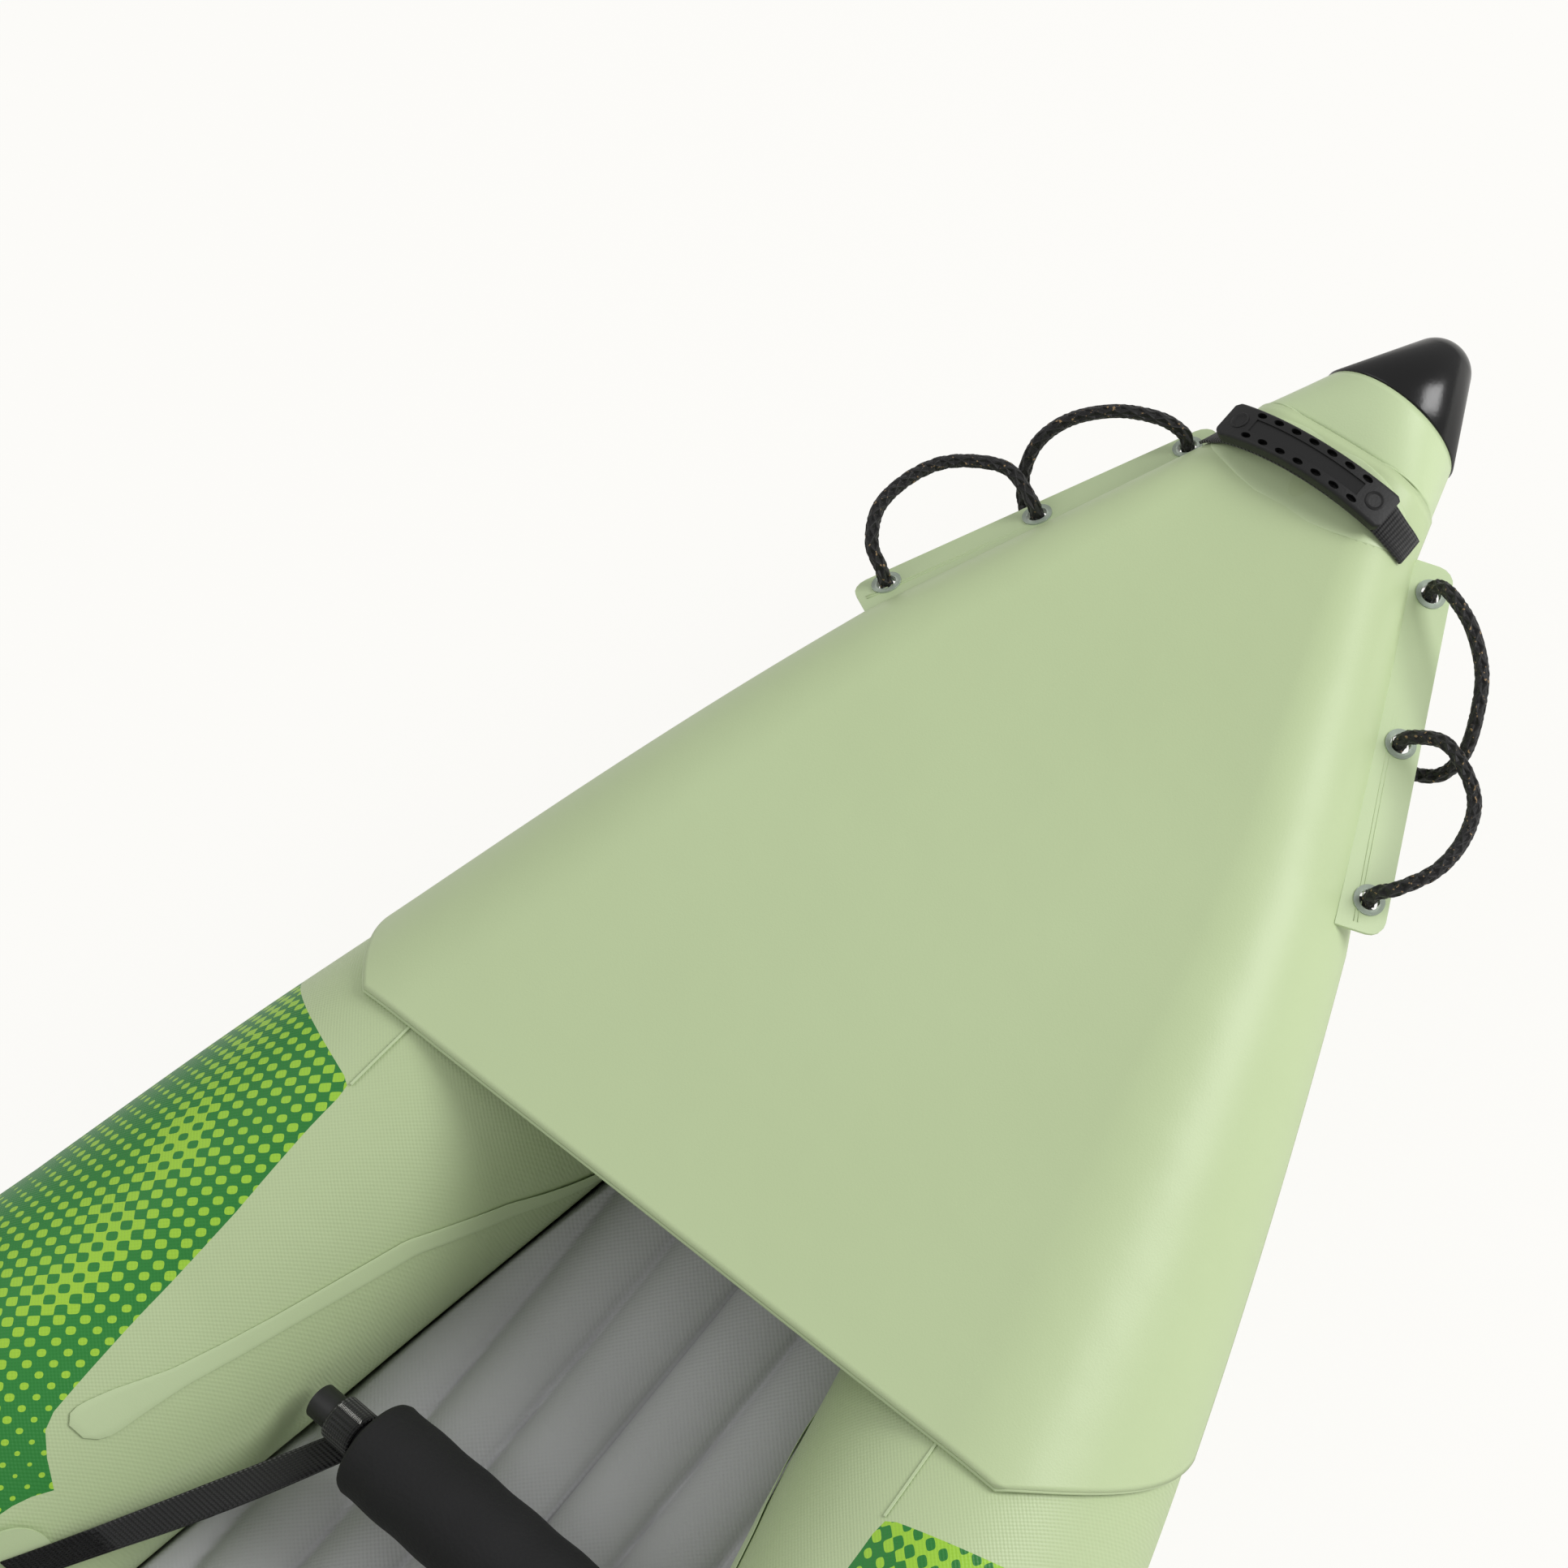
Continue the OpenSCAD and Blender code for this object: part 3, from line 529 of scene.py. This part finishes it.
def knot_at(name, place, along):
    """Stopper knot: three crossing turns of rope drawn tight."""
    side = along.orthogonal().normalized()
    other = along.cross(side)
    path = []
    for i in range(60):
        t = 2 * math.pi * i / 60
        reach = 0.0028 * (2 + math.cos(3 * t)) / 2.2
        path.append(place + side * math.cos(2 * t) * reach + other * math.sin(2 * t) * reach
                    + along * 0.0018 * math.sin(3 * t))
    return tube_along(name, path, 0.0024, rope_finish, 8, loop=True)[0]


for end, fore in ENDS:
    for side, out in SIDES:
        points = [Vector((out * x, fore * y, z)) / 1000 for x, y, z in ROPE]
        path = smooth_path(points, 12)
        rope, length = tube_along(f"{end}_{side}_deck_rope", path, 0.0038, rope_finish, 16, strand_swell)
        normal = Vector((out * 0.337, fore * 0.164, 0.927))
        knots = join([knot_at("knot", points[0] - normal * 0.0055, normal),
                      knot_at("knot", points[-1] - normal * 0.0055, normal)], f"{end}_{side}_rope_knots_tied")
        hand_over(rope, "rope", f"{end}_{side}_rope")
        hand_over(knots, "rope", f"{end}_rope_knots")

# ---------------------------------------------------------------- side tubes with their print
PRINT_INNER = [(0.0, -26), (0.3, -40), (0.56, -46), (0.595, -48), (0.612, -53), (0.617, -44), (0.621, -40),
               (0.626, -37), (0.635, -34), (0.661, -31), (0.698, -27), (0.74, -23), (0.769, -20),
               (0.829, -12), (0.857, -9), (0.9, -3)]


def side_tube(side, out):
    ys = spread(-TUBE_END, TUBE_END, 300)
    rows = []
    for grow, share in ((-0.0078, 0.4), (-0.0048, 0.9)):
        rows.append([on_tube(-TUBE_END, j * 5, radius(TUBE_END) * (share - 1), out) + Vector((0, grow, 0))
                     for j in range(72)])
    for y in ys:
        row = []
        for j in range(72):
            p = on_tube(y, j * 5, 0, out)
            wave = noise.noise(Vector((p.x * 9 + out, y * 7, p.z * 12)))
            keep = 1 if p.z > 0.03 else 0
            row.append(on_tube(y, j * 5, -0.0003 + 0.0006 * wave * keep, out))
        rows.append(row)
    for grow, share in ((0.0048, 0.9), (0.0078, 0.4)):
        rows.append([on_tube(TUBE_END, j * 5, radius(TUBE_END) * (share - 1), out) + Vector((0, grow, 0))
                     for j in range(72)])
    piece = skin(f"{side}_tube_skin", rows, green_tube, closed=True, caps=True)
    edge = piece.data.attributes.new("print_edge", "FLOAT", "POINT")
    tone = piece.data.attributes.new("print_tone", "FLOAT", "POINT")
    for i, vertex in enumerate(piece.data.vertices):
        x, y, z = vertex.co
        across, a = abs(x) - axis_x(y), abs(y)
        degrees = math.degrees(math.atan2(across, z - axis_z(y)))
        girth = radius(y) * math.pi / 180
        near = 0.861 + 0.00048 * degrees - a
        inner = (degrees - track(PRINT_INNER, a)[0]) * girth
        outer = (112 - degrees) * girth
        edge.data[i].value = min(near, inner, outer)
        streak = noise.noise(Vector((girth * degrees * 16 + y * 4 * out,
                                     y * 9 - girth * degrees * 9, out * 3.1)))
        fine = noise.noise(Vector((girth * degrees * 38, y * 30, 5.0)))
        tone.data[i].value = 0.42 + 0.62 * streak + 0.16 * fine + 0.0016 * (degrees - 20)
    return hand_over(piece, "green_pvc", f"{side}_side_tube")


def tube_strip(name, table, out, fore, lift, thickness):
    """Flat welded strip on a tube between two angles that change along it."""
    rows = [[on_tube(y, d, lift, out) for d in spread(*track(table, y), 5)]
            for y in spread(table[0][0], table[-1][0], 60)]
    for row in rows:
        for p in row:
            p.y *= fore
    return thicken(skin(name, rows, green_trim), thickness, 0.0003)


WELD_TONGUE = [(0.637, -45, -39.5), (0.641, -48, -37), (0.648, -50, -36.5),
               (0.664, -50.5, -39), (0.691, -52, -45), (0.745, -58, -52),
               (0.818, -67, -60), (0.87, -82, -75), (0.919, -104, -97)]
SEAM_LINE = [(0.857, -9.6, -8.6), (0.905, -4.6, -3.6)]
for side, out in SIDES:
    side_tube(side, out)
    for end, fore in ENDS:
        hand_over(tube_strip(f"{end}_{side}_weld_tongue", WELD_TONGUE, out, fore, 0.0006, 0.0004),
                  "green_pvc")
        hand_over(tube_strip(f"{end}_{side}_seam_line", SEAM_LINE, out, fore, 0.0007, 0.0006), "green_pvc")


# ---------------------------------------------------------------- spray decks, sleeves and nose cones
def deck_degrees(y):
    return min(95, 17 + 78 * (y - 0.9) / 0.085)


def deck_point(y, u, off):
    flat = axis_x(y)
    half = flat + radius(y) * math.radians(deck_degrees(y))
    s = u * half
    p = over_hull(y, s, off)
    if abs(s) < flat:
        share = 1 - (s / flat) ** 2
        wave = noise.noise(Vector((s * 7, y * 5, 1.7)))
        p.z -= share * (0.0035 * math.sin(math.pi * min(1, (y - 0.9) / 0.5)) + 0.0018 * wave)
    return p


for end, fore in ENDS:
    ys = spread(0.9, 0.985, 24) + spread(0.985, 1.4536, 90)[1:]
    rows = []
    for y in ys:
        row = [deck_point(y, u, DECK_LIFT) for u in spread(-1, 1, 120)]
        for p in row:
            p.y *= fore
        rows.append(row)
    deck = skin(f"{end}_spray_deck", rows, green_deck)
    if deck.data.polygons[len(deck.data.polygons) // 2].normal.z < 0:
        deck.data.flip_normals()
    thicken(deck, 0.0016)
    hem_path = [rows[0][j] - Vector((0, 0, 0.0012)) for j in range(121)]
    for i in range(1, 25):
        hem_path = [rows[i][0]] + hem_path + [rows[i][120]]
    hem = tube_along(f"{end}_deck_hem", hem_path, 0.0012, green_trim, 10)[0]
    hand_over(deck, "green_pvc", f"{end}_deck")
    hand_over(hem, "green_pvc")

    w0, top0 = beam(1.454) + DECK_LIFT, 0.206 + DECK_LIFT
    low0 = on_tube(1.454, 195, 0.002).z
    ring_rows = []
    for t in spread(0, 1, 12):
        w, top, low = (w0 + (0.0424 - w0) * t, top0 + (0.2124 - top0) * t, low0 + (0.1276 - low0) * t)
        power, row = 0.7 + 0.3 * t, []
        for j in range(80):
            a = 2 * math.pi * j / 80
            s, c = math.sin(a), math.cos(a)
            row.append(Vector((w * math.copysign(abs(s) ** power, s), fore * (1.454 + 0.0386 * t),
                               (top + low) / 2 + (top - low) / 2 * math.copysign(abs(c) ** power, c))))
        ring_rows.append(row)
    hand_over(skin(f"{end}_nose_sleeve", ring_rows, green_trim, closed=True, caps=True),
              "green_pvc", f"{end}_sleeve")
    lip = [over_hull(1.4535 - 0.0022 * math.cos(s * 62), s, DECK_LIFT) for s in spread(-0.085, 0.085, 60)]
    for p in lip:
        p.y *= fore
    hand_over(tube_along(f"{end}_sleeve_lip", lip, 0.0007, green_trim, 8)[0], "green_pvc")

    tip, base, length = 0.020, 0.043, 0.062
    reach = math.hypot(base, length - tip)
    first = -math.atan2(length - tip, base) + math.acos(tip / reach)
    outline = [(base - 0.003, 0.0), (base - 0.0008, 0.0), (base, 0.0009)] + [
        (tip * math.cos(a), length - tip + tip * math.sin(a)) for a in spread(first, math.pi / 2, 24)]
    hand_over(lathe(f"{end}_nose_cone_moulding", outline, (0, fore * NOSE, 0.17), (0, fore, 0), black_cone),
              "black_plastic", f"{end}_nose_cone")


# ---------------------------------------------------------------- lobed floor
def lobe(x):
    """Drop of the floor skin below its crest: channels 45 mm wide between welded seams."""
    t = (x % 0.045) / 0.045 * 2 - 1
    return 0.0115 * (1 - math.sqrt(max(0.0, 1 - t * t * 0.985)))


floor_rows = []
for y in spread(-1.1295, 1.1295, 160):
    low, high = floor_base(y), floor_base(y) + 0.0435
    edge = inner_x(y, (low + high) / 2) - 0.0012
    top = inner_x(y, high) - 0.0012
    row = [Vector((x, y, high - lobe(x))) for x in spread(-top + 0.001, top - 0.001, 144)]
    row += [Vector((edge, y, (low + high) / 2))]
    row += [Vector((x, y, low)) for x in spread(edge * 0.97, -edge * 0.97, 12)]
    row += [Vector((-edge, y, (low + high) / 2))]
    floor_rows.append(row)
hand_over(skin("floor_channels", floor_rows, grey_floor, closed=True, caps=True), "grey_pvc", "floor_chamber")


# ---------------------------------------------------------------- carry handles
HANDLE_Y = 1.425
PATCH_LIFT = 0.0035
WEB_Z = axis_z(HANDLE_Y) + radius(HANDLE_Y) + PATCH_LIFT + 0.0012 + 0.012 + 0.0008
ARCH_R = (0.05 ** 2 + 0.012 ** 2) / (2 * 0.012)
ARCH = math.asin(0.05 / ARCH_R)


def arch_point(a, off, y):
    return Vector(((ARCH_R + off) * math.sin(a), y, WEB_Z - ARCH_R + (ARCH_R + off) * math.cos(a)))


def prism(name, a, across, y, half_a, half_y, low, high):
    """Upright oval prism through the grip, used as a cutter."""
    rows = [[arch_point(a + half_a * math.cos(t), off, y + across + half_y * math.sin(t))
             for t in [2 * math.pi * k / 20 for k in range(20)]] for off in (low, high)]
    return skin(name, rows, black_rubber, closed=True, caps=True)


for end, fore in ENDS:
    y0 = fore * HANDLE_Y
    rows = []
    for a in spread(-ARCH * 0.985, ARCH * 0.985, 48):
        share = abs(a) / ARCH
        half_w = 0.0107 + 0.0010 * share ** 2 - (0.003 * max(0, (share - 0.93) / 0.07) ** 2)
        rim = 0.0022
        section = []
        for cx, cz, start in ((half_w - rim, 0.0098 - rim, 0), (-half_w + rim, 0.0098 - rim, 90),
                              (-half_w + rim, 0.0011 + rim, 180), (half_w - rim, 0.0011 + rim, 270)):
            for k in range(6):
                t = math.radians(start + 18 * k)
                section.append(arch_point(a, cz + rim * math.sin(t), y0 + cx + rim * math.cos(t)))
        rows.append(section)
    grip = skin(f"{end}_grip_moulding", rows, black_rubber, closed=True, caps=True)
    cutters = [prism("cut", ARCH * 0.62 * k / 3, across, y0, 0.0029 / ARCH_R, 0.0017, 0.006, 0.014)
               for k in range(-3, 4) for across in (-0.0072, 0.0072)]
    panel = [[arch_point(a, off, y0 + s * 0.0042) for a, s in
              [(-0.3 + 0.6 * k / 12, 1) for k in range(13)] + [(0.3 - 0.6 * k / 12, -1) for k in range(13)]]
             for off in (0.009, 0.014)]
    cutters.append(skin("cut", panel, black_rubber, closed=True, caps=True))
    cutter = join(cutters, "cutter")
    cut = grip.modifiers.new("holes", "BOOLEAN")
    cut.object, cut.operation, cut.solver = cutter, "DIFFERENCE", "EXACT"
    bosses = []
    for s in (-1, 1):
        a = s * ARCH * 0.8
        normal = Vector((math.sin(a), 0, math.cos(a)))
        profile = [(0.0052, 0.0), (0.0052, 0.0009), (0.0046, 0.0013), (0.0036, 0.0006), (0, 0.0006)]
        bosses.append(lathe("boss", profile, arch_point(a, 0.0092, y0), normal, black_rubber, 32))
    whole = join([grip] + bosses, f"{end}_carry_grip")
    bpy.data.objects.remove(cutter)
    for polygon in whole.data.polygons:
        polygon.use_smooth = True
    whole.data.set_sharp_from_angle(angle=math.radians(35))
    hand_over(whole, "black_rubber", f"{end}_handle_grip")

    line = []
    tab_off = PATCH_LIFT + 0.0012 + 0.0008 + 0.0008
    for across in spread(-0.01, 0.01, 4):
        y = HANDLE_Y + across
        tab = [over_hull(y, s, tab_off) for s in spread(0.056, 0.066, 6)]
        arc = [Vector((p.x, y, p.z)) for p in [arch_point(a, 0, y) for a in spread(-ARCH, ARCH, 30)]]
        full = [Vector((-p.x, p.y, p.z)) for p in reversed(tab)] + arc + tab
        line.append([Vector((p.x, fore * p.y, p.z)) for p in full])
    rows = [[line[j][i] for j in range(5)] for i in range(len(line[0]))]
    web = skin(f"{end}_handle_strap", rows, webbing_finish)
    wall = web.modifiers.new("wall", "SOLIDIFY")
    wall.thickness, wall.offset = 0.0016, 0
    hand_over(web, "black_webbing", f"{end}_handle_webbing")

    rows = []
    for a in spread(-84, 84, 28):
        t = math.radians(a)
        half = 0.064 * math.sqrt(1 - 0.95 * math.sin(t) ** 2)
        row = []
        for u in spread(-1, 1, 40):
            rim = 1 - max(abs(u), abs(a) / 84) ** 16
            lift = PATCH_LIFT + 0.0005 + 0.0007 * rim
            row.append(over_hull(HANDLE_Y + 0.024 * math.sin(t), u * half, lift))
        rows.append([Vector((p.x, fore * p.y, p.z)) for p in row])
    patch = thicken(skin(f"{end}_handle_patch_welded", rows, green_trim), 0.0006)
    hand_over(patch, "green_pvc", f"{end}_handle_patch")


# ---------------------------------------------------------------- footrest
FOOT = Vector((0, 0.73, 0.116))
profile = [(0.0101, -0.075), (0.025, -0.075), (0.0272, -0.0742), (0.028, -0.072)]
profile = profile + [(0.028 - 0.0003 * math.cos(h * 190), h) for h in spread(-0.068, 0.068, 30)]
profile += [(0.028, 0.072), (0.0272, 0.0742), (0.025, 0.075), (0.0101, 0.075), (0.0101, -0.075)]
hand_over(lathe("footrest_roller_foam", profile, FOOT, (1, 0, 0), foam_finish), "eva_foam", "footrest_foam",
          body="footrest_roller")
tail_y = 0.565
for side, out in SIDES:
    loop = []
    for a in spread(0, 2 * math.pi, 40):
        loop.append([FOOT + Vector((out * x, 0.0121 * math.sin(a), 0.0121 * math.cos(a)))
                     for x in spread(0.083, 0.101, 6)])
    ring = skin("loop", loop, webbing_finish)
    wall = ring.modifiers.new("wall", "SOLIDIFY")
    wall.thickness, wall.offset = 0.0016, 0
    start = FOOT + Vector((out * 0.092, -0.005, -0.0121))
    foot = on_tube(tail_y, -62, 0.0040, out)
    a = math.radians(-62)
    across = Vector((out * math.cos(a), 0, -math.sin(a)))
    layers = [ring]
    for drop in (0.0, 0.0021):
        rows = []
        for t in spread(0, 1, 30):
            ease = t * t * (3 - 2 * t)
            width = (Vector((out, 0, 0)) * (1 - ease) + across * ease).normalized()
            sag = 0.004 * math.sin(math.pi * t) + drop * math.sin(math.pi * min(1, t * 1.4))
            middle = start.lerp(foot, t) - Vector((0, 0, sag))
            rows.append([middle + width * w for w in spread(-0.009, 0.009, 6)])
        band = skin("band", rows, webbing_finish)
        wall = band.modifiers.new("wall", "SOLIDIFY")
        wall.thickness, wall.offset = 0.0015, 0
        layers.append(band)
    hand_over(join(layers, f"{side}_footrest_webbing"), "black_webbing", f"footrest_{side}_strap")
    tack = []
    for t in spread(-1, 1, 36):
        zig = 0.0011 * (1 if round((t + 1) * 18) % 2 else -1)
        tack.append(FOOT + Vector((out * (0.092 + 0.0078 * t), 0.0045 + zig, 0.0125)))
    hand_over(tube_along(f"{side}_loop_bar_tack", tack, 0.0003, thread_finish, 6)[0], "black_webbing")


# ---------------------------------------------------------------- seat
def cushion(name, low, high, finish, channels, turn=None, body="hull"):
    """Crowned closed pad filling its box: rounded corners, sides that pull in, sewn channels across."""
    cx, cy = (low[0] + high[0]) / 2, (low[1] + high[1]) / 2
    hx, hy, t = (high[0] - low[0]) / 2, (high[1] - low[1]) / 2, high[2] - low[2]
    rings = []
    n = 96
    for layer in range(-14, 15):
        f = layer / 14
        shell = 1 - 0.035 * abs(f) ** 2
        ring = []
        size = shell if abs(layer) < 10 else shell * (14 - abs(layer)) / 5
        for j in range(n):
            a = 2 * math.pi * j / n
            c, s = math.cos(a), math.sin(a)
            k = (abs(c) ** 5 + abs(s) ** 5) ** -0.2
            x, y = c * k * hx * size, s * k * hy * size
            dip = max(0.0, math.cos((y / hy) * math.pi * channels)) ** 24
            rim = max(abs(x) / hx, abs(y) / hy)
            crown = math.sqrt(max(0.0, 1 - rim ** 6))
            height = t / 2 * (0.35 + 0.65 * crown) * (1 - 0.3 * dip)
            f_z = math.copysign(min(1.0, abs(f) / 0.7) ** 0.7, f)
            z = f_z * height if f > 0 else f_z * t / 2 * (0.5 + 0.5 * crown)
            ring.append(Vector((cx + x, cy + y, low[2] + t / 2 + z)))
        rings.append(ring)
    if turn:
        rings = [[turn @ p for p in row] for row in rings]
    pad = skin(name, rings, finish, closed=True, caps=True)
    fine = pad.modifiers.new("soft", "SUBSURF")
    fine.levels = fine.render_levels = 1
    return pad


seat_low, seat_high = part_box("seat_cushion")
pad = cushion("seat_pad", seat_low, seat_high, seat_finish, 4)
hand_over(pad, "seat_fabric", "seat_cushion")
rod_low, rod_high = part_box("seat_hinge_rod")
hinge = (Vector(rod_low) + Vector(rod_high)) / 2
tilt = Matrix.Translation(hinge) @ Matrix.Rotation(math.radians(100), 4, "X")
rest = cushion("backrest_pad", (-0.177, 0.012, -0.008), (0.177, 0.4, 0.034), seat_finish, 4, tilt)
hand_over(rest, "seat_fabric", "seat_backrest", body="backrest")
sleeve = [(0.0043, -0.145), (0.0072, -0.145), (0.0079, -0.1435)]
sleeve += [(0.0079 - 0.0003 * math.cos(h * 260), h) for h in spread(-0.14, 0.14, 60)]
sleeve += [(0.0079, 0.1435), (0.0072, 0.145), (0.0043, 0.145), (0.0043, -0.145)]
hand_over(lathe("backrest_rod_sleeve", sleeve, hinge, (1, 0, 0), seat_edge_finish, 48), "seat_fabric",
          body="backrest")
piping = []
for j in range(160):
    a = 2 * math.pi * j / 160
    c, v = math.cos(a), math.sin(a)
    k = (abs(c) ** 5 + abs(v) ** 5) ** -0.2
    piping.append(tilt @ Vector((c * k * 0.1745, 0.206 + v * k * 0.1915, 0.013)))
hand_over(tube_along("backrest_piping", piping, 0.0028, seat_edge_finish, 8, loop=True)[0], "seat_fabric",
          body="backrest")

# ---------------------------------------------------------------- welts along the rope flaps
for end, fore in ENDS:
    for side, out in SIDES:
        for along in (0.0085, 0.0105):
            welt = []
            for t in spread(0.02, 0.98, 40):
                s = 0.218 * t
                foot = Vector((0.15959, CREASE, 0.176)) + Vector((-0.457, 0.8894, 0)) * s
                level = foot + Vector((0.8894 * 0.9272, 0.457 * 0.9272, -0.3746)) * along
                welt.append(Vector((out * level.x, fore * level.y, level.z + 0.0002)))
            name = f"{end}_{side}_flap_welt_{round(along * 10000)}"
            hand_over(tube_along(name, welt, 0.00035, green_trim, 6)[0], "green_pvc")

# ---------------------------------------------------------------- finishes of the moulded parts
LOOKS = {"hull_bottom": green_bottom, "bow_eyelets": clear_finish, "stern_eyelets": clear_finish,
         "footrest_rod": black_plastic, "seat_hinge_rod": wire_finish, "seat_hinge_loops": webbing_finish,
         "drain_socket": grey_plastic, "drain_plug": black_plastic,
         "fin_base": black_plastic}
for name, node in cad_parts.items():
    look = LOOKS.get(name)
    if look is None:
        if name.endswith("_flap") or name.endswith("_anchor"):
            look = green_trim
        elif name.endswith("_ring"):
            look = wire_finish
        elif name.endswith("_body"):
            look = grey_plastic
        elif name.endswith("_stem") or name.endswith("_cap"):
            look = black_plastic
    if look is not None:
        node.data.materials.clear()
        node.data.materials.append(look)

# ---------------------------------------------------------------- floor, light
ground_mesh = bpy.data.meshes.new("ground")
ground_mesh.from_pydata([(-8, -8, 0), (8, -8, 0), (8, 8, 0), (-8, 8, 0)], [], [(0, 1, 2, 3)])
ground = bpy.data.objects.new("ground", ground_mesh)
bpy.context.scene.collection.objects.link(ground)
paper = Finish("matt_paper", "F4F3F0", 0.9)
glow = paper.add("Emission", {"Color": colour("FEFDFA"), "Strength": 1.0})
eye = paper.add("LightPath")
seen = paper.math("MULTIPLY", eye.outputs["Is Camera Ray"], 0.93)
blend = paper.add("MixShader", {0: seen, 1: paper.shader.outputs[0], 2: glow.outputs[0]})
output = [n for n in paper.tree.nodes if n.type == "OUTPUT_MATERIAL"][0]
paper.tree.links.new(blend.outputs[0], output.inputs["Surface"])
ground_mesh.materials.append(paper.material)
ground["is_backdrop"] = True

world = bpy.data.worlds.new("studio")
bpy.context.scene.world = world
world.use_nodes = True
world.node_tree.nodes["Background"].inputs["Color"].default_value = (1, 0.995, 0.985, 1)
world.node_tree.nodes["Background"].inputs["Strength"].default_value = 0.53
for name, spot, watts, size in (("key", (2.2, 3.0, 2.2), 74, 1.6), ("fill", (-2.2, 0.4, 3.0), 16, 2.4)):
    data = bpy.data.lights.new(name, "AREA")
    data.energy, data.size = watts, size
    lamp = bpy.data.objects.new(name, data)
    lamp.location = spot
    lamp.rotation_euler = (Vector((0, 0.9, 0.1)) - Vector(spot)).to_track_quat("-Z", "Y").to_euler()
    bpy.context.scene.collection.objects.link(lamp)

low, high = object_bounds()
